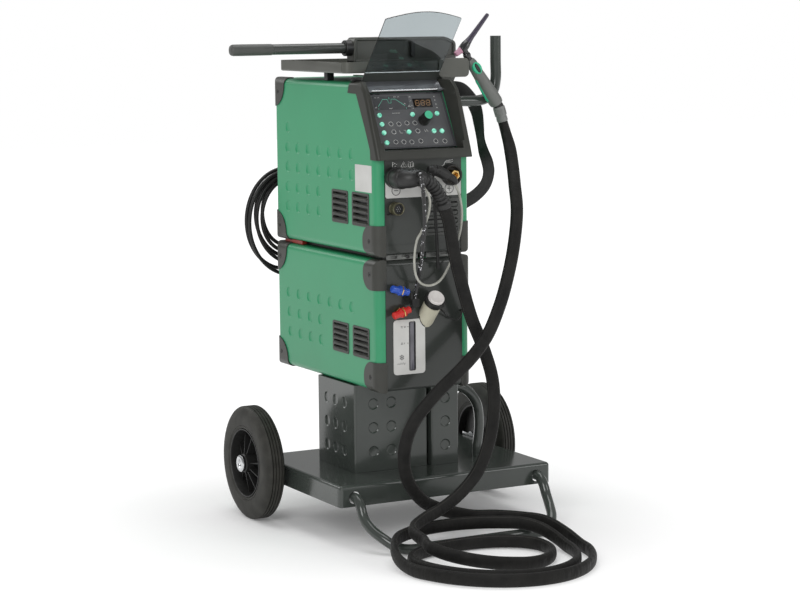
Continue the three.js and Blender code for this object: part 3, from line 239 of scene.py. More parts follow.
coil_steps = round((COIL_END - COIL_START) * 24)
coil_route = [coil_point(COIL_START + (COIL_END - COIL_START) * i / coil_steps)
              for i in range(coil_steps + 1)]
torch_side = [at(*p) for p in (
    (0.3031, -0.1810, 1.0057), (0.3115, -0.1810, 0.979), (0.314, -0.195, 0.945), (0.307, -0.220, 0.905),
    (0.289, -0.262, 0.850), (0.278, -0.290, 0.791), (0.252, -0.318, 0.708), (0.219, -0.345, 0.638),
    (0.179, -0.372, 0.570), (0.128, -0.398, 0.502), (0.083, -0.408, 0.458), (0.045, -0.409, 0.425),
    (-0.021, -0.403, 0.369), (-0.078, -0.392, 0.300), (-0.096, -0.382, 0.232), (-0.084, -0.373, 0.166),
    (-0.050, -0.366, 0.115), (-0.008, -0.354, 0.084))]
boot_side = [at(*p) for p in (
    (-0.140, -0.500, 0.068), (-0.095, -0.466, 0.080), (-0.031, -0.440, 0.094), (0.036, -0.418, 0.121),
    (0.102, -0.396, 0.170), (0.141, -0.382, 0.237), (0.160, -0.373, 0.312), (0.163, -0.362, 0.385),
    (0.143, -0.354, 0.462), (0.110, -0.354, 0.538), (0.083, -0.361, 0.610), (0.055, -0.368, 0.700),
    (0.0338, -0.3731, 0.7912), (0.0222, -0.3759, 0.8176))]
hose_route, hose_length = route(torch_side + coil_route + boot_side, HOSE_STEP)
hose_route = [p + Vector((0, 0, HOSE_LIFT * (1 - smooth_step(0.05, 0.2, p.z)))) for p in hose_route]


def ringed(name, path, rings, caps=True):
    """A skin over rings of points, with the piece's own UV map: round it by turns, along it by metres."""
    count, way = len(rings[0]), [0.0]
    for a, b in zip(path, path[1:]):
        way.append(way[-1] + (b - a).length)
    faces = [(i * count + j, i * count + (j + 1) % count, (i + 1) * count + (j + 1) % count,
              (i + 1) * count + j)
             for i in range(len(rings) - 1) for j in range(count)]
    if caps:
        faces += [tuple(reversed(range(count))), tuple((len(rings) - 1) * count + j for j in range(count))]
    mesh = bpy.data.meshes.new(name)
    mesh.from_pydata([p for ring in rings for p in ring], [], faces)
    uv = mesh.uv_layers.new(name="along")
    for face in mesh.polygons:
        first = face.vertices[0] % count
        for k, corner in enumerate(face.loop_indices):
            vertex = mesh.loops[corner].vertex_index
            u = (vertex % count) / count
            if first == count - 1 and vertex % count == 0:
                u = 1.0
            uv.data[corner].uv = (u, way[vertex // count])
    piece = bpy.data.objects.new(name, mesh)
    bpy.context.scene.collection.objects.link(piece)
    select_only(piece)
    bpy.ops.object.mode_set(mode="EDIT")
    bpy.ops.mesh.select_all(action="SELECT")
    bpy.ops.mesh.normals_make_consistent(inside=False)
    bpy.ops.object.mode_set(mode="OBJECT")
    bpy.ops.object.shade_smooth_by_angle(angle=math.radians(50))
    return piece


def sections(path, shape, wide_way):
    """One ring of points round each place of a path. wide_way says where the section's width points."""
    rings, last = [], None
    for i, p in enumerate(path):
        way = (path[min(i + 1, len(path) - 1)] - path[max(i - 1, 0)]).normalized()
        wide = wide_way(p, way)
        wide = wide - way * wide.dot(way)
        if last is not None:
            if wide.dot(last) < 0:
                wide = -wide
            wide = wide.normalized() * 0.25 + last * 0.75
            wide = wide - way * wide.dot(way)
        wide.normalize()
        last = wide.copy()
        rings.append([p + wide * a + way.cross(wide) * b for a, b in shape(i)])
    return rings


def jacket_way(p, way):
    hanging = smooth_step(0.055, 0.16, p.z)
    across = way.cross(Vector((0.35, 0.94, 0)))
    if across.z < 0 or (abs(across.z) < 0.2 and across.x > 0):
        across = -across
    return across * hanging + Vector((0, 0, 1)) * (1 - hanging)


JACKET_SIDES = 26


def jacket_shape(i):
    near_end = min(i, len(hose_route) - 1 - i) * HOSE_STEP
    round_end = 1 - smooth_step(0.0, FULLEST, near_end)
    wide = JACKET_WIDE / 2 * (1 - 0.22 * round_end * (1 if i < NARROW_END_STEPS else 0))
    thick = JACKET_THICK / 2 * (1 + 0.32 * round_end)
    ring = []
    for k in range(JACKET_SIDES):
        a = 2 * math.pi * k / JACKET_SIDES
        c, s = math.cos(a), math.sin(a)
        bulge = 0.0009 * noise.noise(Vector((i * 0.05, c * 0.8, s * 0.8 + 7)))
        crease = max(0.0, noise.noise(Vector((i * 0.19 + 2.5 * s, 3.1, 0.4 * c))) - 0.18)
        swell = 1 + (bulge - 0.0042 * crease * abs(s)) / (JACKET_THICK / 2)
        flat = abs(c) ** 0.82 * math.copysign(1, c)
        ring.append((wide * flat * (1 - 0.02 * crease), thick * s * swell))
    return ring


torch_hose = ringed("torch_hose", hose_route, sections(hose_route, jacket_shape, jacket_way))

jacket, nodes, links, shader = new_material("coated_jacket")
coords = nodes.new("ShaderNodeUVMap")
coords.uv_map = "along"
stretch = new_node(nodes, "Mapping", Scale=(70.0, 900.0, 1.0))
links.new(coords.outputs["UV"], stretch.inputs["Vector"])
weave = new_node(nodes, "TexChecker", Scale=1.0)
links.new(stretch.outputs["Vector"], weave.inputs["Vector"])
place = nodes.new("ShaderNodeTexCoord")
cloud = new_node(nodes, "TexNoise", Scale=26.0, Detail=6.0)
links.new(place.outputs["Object"], cloud.inputs["Vector"])
tint = new_ramp(nodes, (0.3, (0.0058, 0.0057, 0.0053, 1)), (0.75, (0.0150, 0.0145, 0.0132, 1)))
links.new(cloud.outputs["Fac"], tint.inputs["Fac"])
# the seam: a row of stitches along one edge
seam = nodes.new("ShaderNodeSeparateXYZ")
links.new(coords.outputs["UV"], seam.inputs["Vector"])
edge = nodes.new("ShaderNodeMath")
edge.operation = "COMPARE"
edge.inputs[1].default_value = 0.10
edge.inputs[2].default_value = 0.011
links.new(seam.outputs["X"], edge.inputs[0])
pitch = nodes.new("ShaderNodeMath")
pitch.operation = "PINGPONG"
pitch.inputs[1].default_value = 0.0028
links.new(seam.outputs["Y"], pitch.inputs[0])
stitch = nodes.new("ShaderNodeMath")
stitch.operation = "GREATER_THAN"
stitch.inputs[1].default_value = 0.0009
links.new(pitch.outputs[0], stitch.inputs[0])
row = nodes.new("ShaderNodeMath")
row.operation = "MULTIPLY"
links.new(edge.outputs[0], row.inputs[0])
links.new(stitch.outputs[0], row.inputs[1])
thread = nodes.new("ShaderNodeMix")
thread.data_type = "RGBA"
links.new(row.outputs[0], thread.inputs["Factor"])
links.new(tint.outputs["Color"], thread.inputs[6])
thread.inputs[7].default_value = (0.05, 0.048, 0.044, 1)
links.new(thread.outputs[2], shader.inputs["Base Color"])
gloss = new_node(nodes, "MapRange", To_Min=0.48, To_Max=0.68)
links.new(cloud.outputs["Fac"], gloss.inputs["Value"])
links.new(gloss.outputs["Result"], shader.inputs["Roughness"])
shader.inputs["Sheen Weight"].default_value = 0.05
shader.inputs["Specular IOR Level"].default_value = 0.20
shader.inputs["Sheen Roughness"].default_value = 0.4
# transverse wrinkles all along the cloth
ripple_place = new_node(nodes, "Mapping", Scale=(1.5, 60.0, 1.0))
links.new(coords.outputs["UV"], ripple_place.inputs["Vector"])
ripple = new_node(nodes, "TexNoise", Scale=1.0, Detail=3.0)
links.new(ripple_place.outputs["Vector"], ripple.inputs["Vector"])
cloth = new_node(nodes, "Bump", Strength=0.35, Distance=0.0002)
links.new(weave.outputs["Fac"], cloth.inputs["Height"])
folds = new_node(nodes, "Bump", Strength=0.7, Distance=0.004)
links.new(ripple.outputs["Fac"], folds.inputs["Height"])
links.new(cloth.outputs["Normal"], folds.inputs["Normal"])
links.new(folds.outputs["Normal"], shader.inputs["Normal"])
torch_hose.data.materials.append(jacket)
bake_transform(torch_hose)
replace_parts(torch_hose, "hose_a", "hose_coil", "hose_b")

# the ribbed boot between the plug and the jacket: eight ribs, then a smooth ring
boot_path, _ = route([at(*p) for p in (
    (-0.038, -0.384, 0.887), (-0.026, -0.384, 0.882), (-0.008, -0.383, 0.867), (0.006, -0.380, 0.849),
    (0.015, -0.378, 0.834), (0.0225, -0.376, 0.8165))], 0.0008)


def boot_shape(i):
    share = i / (len(boot_path) - 1)
    base = 0.0178 - 0.0010 * share
    if share > 0.86:
        radius = base + 0.0016 * min(1, (1 - share) / 0.03 + 0.35)
    else:
        wave = (share * 9.4) % 1
        radius = base - 0.0034 * smooth_step(0.34, 0.50, wave) * (1 - smooth_step(0.84, 1.0, wave))
    return [(radius * math.cos(a * math.pi / 16), radius * math.sin(a * math.pi / 16)) for a in range(32)]


hose_boot = ringed("hose_boot", boot_path, sections(boot_path, boot_shape, lambda p, way: way.orthogonal()))
boot_rubber, nodes, links, shader = new_material("boot_rubber")
place = nodes.new("ShaderNodeTexCoord")
dust = new_node(nodes, "TexNoise", Scale=90, Detail=6)
links.new(place.outputs["Object"], dust.inputs["Vector"])
tint = new_ramp(nodes, (0.35, (0.008, 0.008, 0.008, 1)), (0.75, (0.017, 0.017, 0.016, 1)))
links.new(dust.outputs["Fac"], tint.inputs["Fac"])
links.new(tint.outputs["Color"], shader.inputs["Base Color"])
gloss = new_node(nodes, "MapRange", To_Min=0.36, To_Max=0.52)
links.new(dust.outputs["Fac"], gloss.inputs["Value"])
links.new(gloss.outputs["Result"], shader.inputs["Roughness"])
pores = new_node(nodes, "Bump", Strength=0.12, Distance=0.0004)
links.new(dust.outputs["Fac"], pores.inputs["Height"])
links.new(pores.outputs["Normal"], shader.inputs["Normal"])
hose_boot.data.materials.append(boot_rubber)
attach(hose_boot, "machine")
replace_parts(hose_boot, "torch_boot")

# ---------------------------------------------------------------- mains cable
# A plain rubber cable leaves the gland at the back and is wound into a hank that hangs on a peg.
# Its moulded plug hangs down at the end of the last turn.
MAINS_R = 0.005
HANK_MID = (-0.060, 0.730)
HANK_HALF = (0.128, 0.146)
HANK_LOOPS = 6
HANK_PITCH = 0.0116
HANK_Y = 0.315


def hank_point(turn):
    half = HANK_LOOPS / 2
    inward = (turn if turn <= half else HANK_LOOPS - turn) * HANK_PITCH
    layer = smooth_step(half - 0.25, half + 0.25, turn)
    tail = 0.024 * smooth_step(HANK_LOOPS - 0.5, HANK_LOOPS, turn)
    angle = -turn * 2 * math.pi
    # the inner turns hang shorter, and swing a little at their feet
    drawn = 0.030 * min(turn, HANK_LOOPS - turn) / half
    swing = 0.0045 * (1 - math.sin(angle)) * math.sin(1.9 * turn) * min(1, turn, HANK_LOOPS - turn)
    return at(HANK_MID[0] + math.cos(angle) * (HANK_HALF[0] - inward - drawn) + swing,
              HANK_Y + layer * HANK_PITCH + tail,
              HANK_MID[1] + drawn + math.sin(angle) * (HANK_HALF[1] - inward - drawn))


hank = [hank_point(HANK_LOOPS * i / 96) for i in range(97)]
cable_lead = [at(*p) for p in ((0.068, 0.2723, 0.850), (0.068, 0.2823, 0.850), (0.068, 0.313, 0.840),
                               (0.068, 0.320, 0.806), (0.068, 0.315, 0.766))]
plug_top = hank[-1] + Vector((0, 0, -0.010))
cable_route, cable_length = route([*cable_lead, *hank, plug_top], 0.004)


def round_shape(radius, sides=12):
    ring = [(radius * math.cos(2 * math.pi * k / sides), radius * math.sin(2 * math.pi * k / sides))
            for k in range(sides)]
    return lambda i: ring


mains_cable = ringed("mains_cable", cable_route,
                     sections(cable_route, round_shape(MAINS_R), lambda p, way: way.orthogonal()))


def finish(name, low, high, rough, cloud_scale, grain_scale, grain, metal=0.0, coat=0.0, spec=0.5):
    """A finish with its colour and gloss clouded a little, and a fine grain in its surface."""
    made, nodes, links, shader = new_material(name)
    place = nodes.new("ShaderNodeTexCoord")
    cloud = new_node(nodes, "TexNoise", Scale=cloud_scale, Detail=5.0)
    links.new(place.outputs["Object"], cloud.inputs["Vector"])
    tint = new_ramp(nodes, (0.32, (*low, 1)), (0.70, (*high, 1)))
    links.new(cloud.outputs["Fac"], tint.inputs["Fac"])
    links.new(tint.outputs["Color"], shader.inputs["Base Color"])
    gloss = new_node(nodes, "MapRange", To_Min=rough[0], To_Max=rough[1])
    links.new(cloud.outputs["Fac"], gloss.inputs["Value"])
    links.new(gloss.outputs["Result"], shader.inputs["Roughness"])
    fine = new_node(nodes, "TexNoise", Scale=grain_scale, Detail=3.0)
    links.new(place.outputs["Object"], fine.inputs["Vector"])
    bump = new_node(nodes, "Bump", Strength=grain, Distance=0.0003)
    links.new(fine.outputs["Fac"], bump.inputs["Height"])
    links.new(bump.outputs["Normal"], shader.inputs["Normal"])
    shader.inputs["Metallic"].default_value = metal
    shader.inputs["Coat Weight"].default_value = coat
    shader.inputs["Coat Roughness"].default_value = 0.08
    shader.inputs["Specular IOR Level"].default_value = spec
    return made


cable_rubber = finish("cable_rubber", (0.010, 0.010, 0.010), (0.018, 0.018, 0.017), (0.38, 0.5), 30, 1400,
                      0.12, spec=0.3)
black_plastic = finish("black_plastic", (0.011, 0.011, 0.011), (0.018, 0.018, 0.017), (0.36, 0.48), 22, 1800,
                       0.15, spec=0.34)
mains_cable.data.materials.append(cable_rubber)


def draw(name, points):
    """One point drawn out along a line, as a pen would; the piece is left in edit mode, all selected."""
    deselect()
    bpy.ops.mesh.primitive_plane_add(size=0.01)
    piece = bpy.context.object
    piece.name = name
    piece.data.name = name
    bpy.ops.object.mode_set(mode="EDIT")
    bpy.ops.mesh.merge(type="CENTER")
    bpy.ops.transform.translate(value=points[0])
    for a, b in zip(points, points[1:]):
        bpy.ops.mesh.extrude_vertices_move(TRANSFORM_OT_translate={"value": b - a})
    bpy.ops.mesh.select_all(action="SELECT")
    return piece


def spun(name, profile, foot, way, steps=40):
    """A profile of (radius, distance along) drawn beside an axis and spun round it."""
    way = way.normalized()
    side = way.orthogonal().normalized()
    piece = draw(name, [foot + side * r + way * h for r, h in profile])
    bpy.ops.mesh.spin(steps=steps, angle=2 * math.pi, center=foot, axis=way)
    bpy.ops.mesh.select_all(action="SELECT")
    bpy.ops.mesh.remove_doubles(threshold=0.00001)
    bpy.ops.mesh.normals_make_consistent(inside=False)
    bpy.ops.object.mode_set(mode="OBJECT")
    bpy.ops.object.shade_smooth_by_angle(angle=math.radians(32))
    return piece


# the plug: a ribbed grip, a wider face and its pins
DOWN = Vector((0, 0, -1))
plug_foot = plug_top + Vector((0, 0, -0.0006))
grip = [(0, 0), (0.0075, 0), (0.008, 0.002), (0.009, 0.013), (0.0115, 0.018)]
for rib in range(6):
    low = 0.022 + rib * 0.006
    grip += [(0.0150, low), (0.0164, low + 0.001), (0.0164, low + 0.0036), (0.0150, low + 0.0046)]
grip += [(0.0168, 0.059), (0.0168, 0.0615), (0.0140, 0.0632), (0.0140, 0.083), (0.0132, 0.084),
         (0.0118, 0.084),
         (0.0118, 0.066), (0, 0.066)]
mains_plug = spun("mains_plug_body", grip, plug_foot, DOWN, 36)
mains_plug.data.materials.append(black_plastic)
bright_metal = finish("bright_metal", (0.52, 0.53, 0.54), (0.62, 0.63, 0.64), (0.14, 0.26), 60, 900, 0.04,
                      metal=1.0)
for turn in range(4):
    spread = Vector((0.0068 * math.cos(turn * math.pi / 2), 0.0068 * math.sin(turn * math.pi / 2), 0))
    pin = spun(f"plug_pin_{turn + 1}", [(0, 0), (0.0022, 0), (0.0022, 0.0135), (0.0014, 0.015), (0, 0.015)],
               plug_foot + spread + Vector((0, 0, -0.0655)), DOWN, 16)
    pin.data.materials.append(bright_metal)
    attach(pin, "machine")
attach(mains_plug, "machine")
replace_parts(mains_plug, "mains_plug")
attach(mains_cable, "machine")
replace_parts(mains_cable, "mains_lead", "mains_hank")

# ---------------------------------------------------------------- cart base
# A flat deck of 3 mm steel with a skirt folded down all round; the front fold is the softest.
# It is powder coated in a glossy dark grey green, and slit at its front corners where the folds meet.
CART_LOW = (-0.2365, -0.316, 0.098)
CART_HIGH = (0.3585, 0.150, 0.150)


def block(name, low, high):
    """A cube primitive set between two corners."""
    deselect()
    low, high = at(*low), at(*high)
    bpy.ops.mesh.primitive_cube_add(size=1.0, location=(low + high) / 2, scale=high - low)
    piece = bpy.context.object
    piece.name = name
    piece.data.name = name
    bpy.ops.object.transform_apply(location=True, rotation=False, scale=True)
    return piece


def pick(piece, what, test):
    """Into edit mode, with only those edges or faces selected whose every corner, or whose middle, passes."""
    select_only(piece)
    bpy.ops.object.mode_set(mode="EDIT")
    bpy.ops.mesh.select_mode(type="EDGE" if what == "edges" else "FACE")
    bpy.ops.mesh.select_all(action="DESELECT")
    bpy.ops.object.mode_set(mode="OBJECT")
    mesh = piece.data
    for e in mesh.edges if what == "edges" else mesh.polygons:
        corners = [mesh.vertices[v].co for v in e.vertices]
        e.select = test(corners if what == "edges" else e)
    bpy.ops.object.mode_set(mode="EDIT")


def object_mode():
    bpy.ops.mesh.select_mode(type="VERT")
    bpy.ops.object.mode_set(mode="OBJECT")


def apply(piece, kind, **settings):
    select_only(piece)
    modifier = piece.modifiers.new("step", kind)
    for key, value in settings.items():
        setattr(modifier, key, value)
    bpy.ops.object.modifier_apply(modifier=modifier.name)


def combine(piece, tool, operation="DIFFERENCE"):
    apply(piece, "BOOLEAN", object=tool, operation=operation, solver="EXACT")
    bpy.data.objects.remove(tool)


def soften(piece, width=0.001, segments=3, angle=35, clamp=True):
    """Rounded edges, and shading that keeps flat faces flat."""
    if width:
        apply(piece, "BEVEL", width=width, segments=segments, limit_method="ANGLE",
              angle_limit=math.radians(angle), use_clamp_overlap=clamp)
    select_only(piece)
    bpy.ops.object.shade_smooth_by_angle(angle=math.radians(38))
    apply(piece, "WEIGHTED_NORMAL", keep_sharp=True)


def upright(corners):
    a, b = corners
    return abs(a.x - b.x) < 1e-6 and abs(a.y - b.y) < 1e-6 and abs(a.z - b.z) > 1e-5


cart_grey = finish("cart_grey", (0.042, 0.049, 0.044), (0.050, 0.058, 0.052), (0.13, 0.20), 9, 1300, 0.035,
                   coat=0.25, spec=0.42)
cart_base = block("cart_tray", CART_LOW, CART_HIGH)
pick(cart_base, "edges", upright)
bpy.ops.mesh.bevel(offset=0.010, segments=5)
object_mode()
cart_top = at(*CART_HIGH).z
pick(cart_base, "faces", lambda f: f.normal.z < -0.9)
bpy.ops.mesh.inset(thickness=0.003)
bpy.ops.mesh.extrude_region_move(TRANSFORM_OT_translate={"value": (0, 0, CART_HIGH[2] - 0.003 - CART_LOW[2])})
object_mode()
pick(cart_base, "edges", lambda c: all(v.z > cart_top - 1e-5 for v in c))
bpy.ops.mesh.bevel(offset=0.0085, segments=8)
object_mode()
for side in (-1, 1):
    foot = at(0.061 + side * 0.258, -0.336, 0.120)
    combine(cart_base,
            spun("hole", [(0, 0), (0.0152, 0), (0.0152, 0.05), (0, 0.05)], foot, Vector((0, 1, 0)), 32))
for x0, x1 in ((-0.2368, -0.2345), (0.3565, 0.3588)):
    combine(cart_base, block("slit", (x0, -0.3045, 0.090), (x1, -0.3030, 0.1420)))
soften(cart_base, 0.0006, 2)
cart_base.data.materials.append(cart_grey)
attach(cart_base, "machine")
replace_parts(cart_base, "cart_base")

# ---------------------------------------------------------------- steel tubes
# The foot tube leaves the front skirt through two holes and runs along the floor under the coil.
# The guard tube bends from the side column down to the deck, and the hook rises beside the tray.


def tube(name, points, radius, material=None, spacing=0.006):
    """Round tube or lead: a bevelled curve, closed at its ends and made a mesh."""
    line, _ = route([at(*p) for p in points], spacing)
    curve = bpy.data.curves.new(name, "CURVE")
    curve.dimensions = "3D"
    curve.bevel_depth = radius
    curve.bevel_resolution = 7
    curve.use_fill_caps = True
    spline = curve.splines.new("POLY")
    spline.points.add(len(line) - 1)
    for knot, p in zip(spline.points, line):
        knot.co = (*p, 1)
    piece = bpy.data.objects.new(name, curve)
    bpy.context.scene.collection.objects.link(piece)
    select_only(piece)
    bpy.ops.object.convert(target="MESH")
    piece = bpy.context.object
    bpy.ops.object.mode_set(mode="EDIT")
    bpy.ops.mesh.select_all(action="SELECT")
    bpy.ops.mesh.remove_doubles(threshold=0.00001)
    bpy.ops.mesh.normals_make_consistent(inside=False)
    bpy.ops.object.mode_set(mode="OBJECT")
    bpy.ops.object.shade_smooth_by_angle(angle=math.radians(50))
    piece.data.materials.append(material or cart_grey)
    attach(piece, "machine")
    return piece


foot_half = [(0.258, -0.282, 0.120), (0.258, -0.308, 0.120), (0.258, -0.328, 0.119), (0.258, -0.346, 0.104),
             (0.258, -0.361, 0.079), (0.252, -0.385, 0.058), (0.237, -0.420, 0.038), (0.212, -0.447, 0.019),
             (0.182, -0.455, 0.0126), (0.122, -0.455, 0.0126)]
foot_tube = tube("foot_bar", [(0.061 + w, y, z) for w, y, z in foot_half]
                 + [(0.061 - w, y, z) for w, y, z in reversed(foot_half)], 0.0125)
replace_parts(foot_tube, "foot_tube")
guard_tube = tube("guard_bar", [
    (0.1593, -0.150, 0.337), (0.179, -0.150, 0.337), (0.198, -0.150, 0.331), (0.222, -0.150, 0.314),
    (0.242, -0.150, 0.283), (0.248, -0.150, 0.240), (0.246, -0.150, 0.205), (0.242, -0.150, 0.180),
    (0.242, -0.150, 0.1503)], 0.0125)
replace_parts(guard_tube, "side_guard_tube")
hook = tube("hook_bar", [
    (0.1643, -0.150, 1.059), (0.200, -0.150, 1.059), (0.248, -0.150, 1.059), (0.277, -0.150, 1.066),
    (0.294, -0.150, 1.083), (0.301, -0.150, 1.111), (0.301, -0.150, 1.160), (0.301, -0.150, 1.2205)], 0.0135)
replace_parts(hook, "hose_hook")

# ---------------------------------------------------------------- columns
# Two folded steel columns carry the cooler over the deck, the wide one with rows of pressed dimples.
# They have the cart's coating.
DIMPLE_R = 0.0145
DIMPLE_DEEP = 0.0024


def dimple_tool(name, centres, inward):
    """Round shallow pressings: one cutter spun at each centre, all joined as one tool."""
    profile = [(0, DIMPLE_DEEP), (DIMPLE_R - 0.0036, DIMPLE_DEEP), (DIMPLE_R - 0.0022, DIMPLE_DEEP * 0.82),
               (DIMPLE_R - 0.0008, DIMPLE_DEEP * 0.28), (DIMPLE_R, -0.0001), (DIMPLE_R + 0.0004, -0.001),
               (0, -0.001)]
    tools = [spun(name, profile, centre, inward, 28) for centre in centres]
    deselect()
    for tool in tools:
        tool.select_set(True)
    bpy.context.view_layer.objects.active = tools[0]
    if len(tools) > 1:
        bpy.ops.object.join()
    return bpy.context.view_layer.objects.active


ROWS = (0.200, 0.260, 0.320)
for name, low, high, centres_x, centres_y, node in (
    ("main_column", (-0.130, -0.190, 0.1503), (0.075, 0.015, 0.3697),
     [(y, z) for z in ROWS for y in (-0.132, -0.083, -0.037)],
     [(x, z) for z in ROWS for x in (-0.078, -0.028)],
     "column_main"),
    ("side_column", (0.081, -0.200, 0.1503), (0.159, -0.030, 0.3697), [], [(0.120, z) for z in ROWS],
     "column_side"),
):
    column = block(name, low, high)
    pick(column, "edges", upright)
    bpy.ops.mesh.bevel(offset=0.005, segments=4)
    object_mode()
    if centres_x:
        combine(column, dimple_tool("press", [at(low[0], y, z) for y, z in centres_x], Vector((1, 0, 0))))
    combine(column, dimple_tool("press", [at(x, low[1], z) for x, z in centres_y], Vector((0, 1, 0))))
    soften(column, 0)
    column.data.materials.append(cart_grey)
    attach(column, "machine")
    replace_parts(column, node)

# ---------------------------------------------------------------- wheels
# Solid rubber tyres with four grooves round the tread, on black rims moulded with thin radial webs.
# Each turns on a plated stub bolted to the skirt, and a bright dished cap holds it.
AXLE_Y = 0.094
WHEEL_R = 0.145
TYRE_IN = 0.310
tyre_rubber, nodes, links, shader = new_material("tyre_rubber")
place = nodes.new("ShaderNodeTexCoord")
dust = new_node(nodes, "TexNoise", Scale=34.0, Detail=8.0)
links.new(place.outputs["Object"], dust.inputs["Vector"])
tint = new_ramp(nodes, (0.35, (0.020, 0.0195, 0.016, 1)), (0.80, (0.043, 0.042, 0.036, 1)))
links.new(dust.outputs["Fac"], tint.inputs["Fac"])
links.new(tint.outputs["Color"], shader.inputs["Base Color"])
shader.inputs["Roughness"].default_value = 0.62
shader.inputs["Specular IOR Level"].default_value = 0.35
pores = new_node(nodes, "TexVoronoi", Scale=520.0)
links.new(place.outputs["Object"], pores.inputs["Vector"])
bump = new_node(nodes, "Bump", Strength=0.25, Distance=0.0003)
links.new(pores.outputs["Distance"], bump.inputs["Height"])
links.new(bump.outputs["Normal"], shader.inputs["Normal"])

tread = []
for groove in (0.0155, 0.0235, 0.0315, 0.0395):
    tread += [(0.145, groove - 0.0014), (0.1444, groove - 0.0011), (0.1405, groove - 0.0008),
              (0.1405, groove + 0.0008), (0.1444, groove + 0.0011), (0.145, groove + 0.0014)]
half_tyre = [(0.0883, 0.0030), (0.0905, 0.0014), (0.0945, 0.0006), (0.0955, 0.0016), (0.0965, 0.0006),
             (0.1050, 0.0000), (0.1180, 0.0000), (0.1270, 0.0014), (0.1345, 0.0036), (0.1400, 0.0068),
             (0.1437, 0.0102), (0.1449, 0.0128)]
tyre_profile = half_tyre + tread + [(r, 0.055 - h) for r, h in reversed(half_tyre)] + [half_tyre[0]]
for side, name in ((-1, "left"), (1, "right")):
    out = Vector((side, 0, 0))
    foot = at(0.061 + side * TYRE_IN, AXLE_Y, WHEEL_R)
    tyre = spun(f"tyre_{name}_ribbed", tyre_profile, foot, out, 96)
    tyre.data.materials.append(tyre_rubber)
    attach(tyre, f"wheel_{name}")
    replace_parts(tyre, f"tyre_{name}")

    barrel = [(0.0880, 0.0030), (0.0880, 0.0520), (0.0868, 0.0540), (0.0850, 0.0540), (0.0835, 0.0520),
              (0.0800, 0.0270), (0.0800, 0.0210), (0.0835, 0.0040), (0.0850, 0.0030), (0.0880, 0.0030)]
    rim = spun(f"rim_{name}_webbed", barrel, foot, out, 72)
    web = spun("web",
               [(0.0200, 0.0220), (0.0815, 0.0220), (0.0815, 0.0252), (0.0200, 0.0252), (0.0200, 0.0220)],
               foot, out, 72)
    combine(rim, web, "UNION")
    hub = spun("hub",
               [(0.0105, 0.0025), (0.0228, 0.0025), (0.0240, 0.0045), (0.0240, 0.0560), (0.0215, 0.0588),
                       (0.0105, 0.0588), (0.0105, 0.0025)], foot, out, 48)
    combine(rim, hub, "UNION")
    for blade in range(10):
        deselect()
        bpy.ops.mesh.primitive_cube_add(size=1.0, location=(0, 0, 0))
        rib = bpy.context.object
        bpy.ops.object.mode_set(mode="EDIT")
        bpy.ops.transform.resize(value=(0.0270, 0.0030, 0.0610))
        bpy.ops.transform.translate(value=(side * 0.0365, 0, 0.0520))
        bpy.ops.mesh.select_all(action="DESELECT")
        bpy.ops.object.mode_set(mode="OBJECT")
        for v in rib.data.vertices:
            v.select = side * v.co.x > 0.04 and v.co.z > 0.06
        bpy.ops.object.mode_set(mode="EDIT")
        bpy.ops.transform.translate(value=(-side * 0.016, 0, 0))
        bpy.ops.object.mode_set(mode="OBJECT")
        rib.matrix_world = Matrix.Translation(foot) @ Matrix.Rotation(blade * math.pi / 5 + 0.2, 4, "X")
        deselect()
        rib.select_set(True)
        bpy.ops.object.transform_apply(location=True, rotation=True, scale=True)
        combine(rim, rib, "UNION")
    soften(rim, 0)
    rim.data.materials.append(black_plastic)
    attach(rim, f"wheel_{name}")
    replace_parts(rim, f"rim_{name}")

    root = 0.2978
    start = at(0.061 + side * 0.3025, AXLE_Y, WHEEL_R)
    stub = spun(f"axle_{name}_stub", [
        (0, 0), (0.016, 0), (0.016, 0.0085), (0.0098, 0.0090), (0.0098, 0.0670), (0.0190, 0.0672),
        (0.0215, 0.0684),
        (0.0220, 0.0700), (0.0214, 0.0728), (0.0190, 0.0748), (0.0150, 0.0754), (0.0108, 0.0746),
        (0.0090, 0.0728),
        (0.0078, 0.0706), (0.0050, 0.0704), (0.0045, 0.0718), (0, 0.0722)], start, out, 48)
    x_in, x_out = sorted((0.061 + side * root, 0.061 + side * 0.3033))
    plate = block("plate", (x_in, AXLE_Y - 0.034, 0.111), (x_out, AXLE_Y + 0.034, 0.157))
    combine(stub, plate, "UNION")
    for dy in (-0.024, 0.024):
        bolt = spun("bolt", [(0, 0), (0.006, 0), (0.006, 0.0035), (0.0048, 0.0045), (0, 0.0045)],
                    at(0.061 + side * 0.3028, AXLE_Y + dy, 0.127), out, 6)
        combine(stub, bolt, "UNION")
    soften(stub, 0)
    stub.data.materials.append(bright_metal)
    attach(stub, "machine")
    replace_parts(stub, f"axle_{name}")

# ---------------------------------------------------------------- cabinets
# Two folded sheet cabinets of one pattern, powder coated green: the water cooler below,
# the power source above.
# Long edges and upright corners are rounded, and the side walls have pressed dimples and two grille openings.
CASE_HALF = 0.130
CASE_FRONT = -0.312
CASE_REAR = 0.250
CASE_EDGE = 0.016
CASE_CORNER = 0.020
CAP_PROUD = 0.003
WINDOW_HALF = 0.106
FACE_Y = -0.3133
DIMPLE_PITCH = 0.0595
COOLER_Z = (0.370, 0.6895)
POWER_Z = (0.702, 1.115)


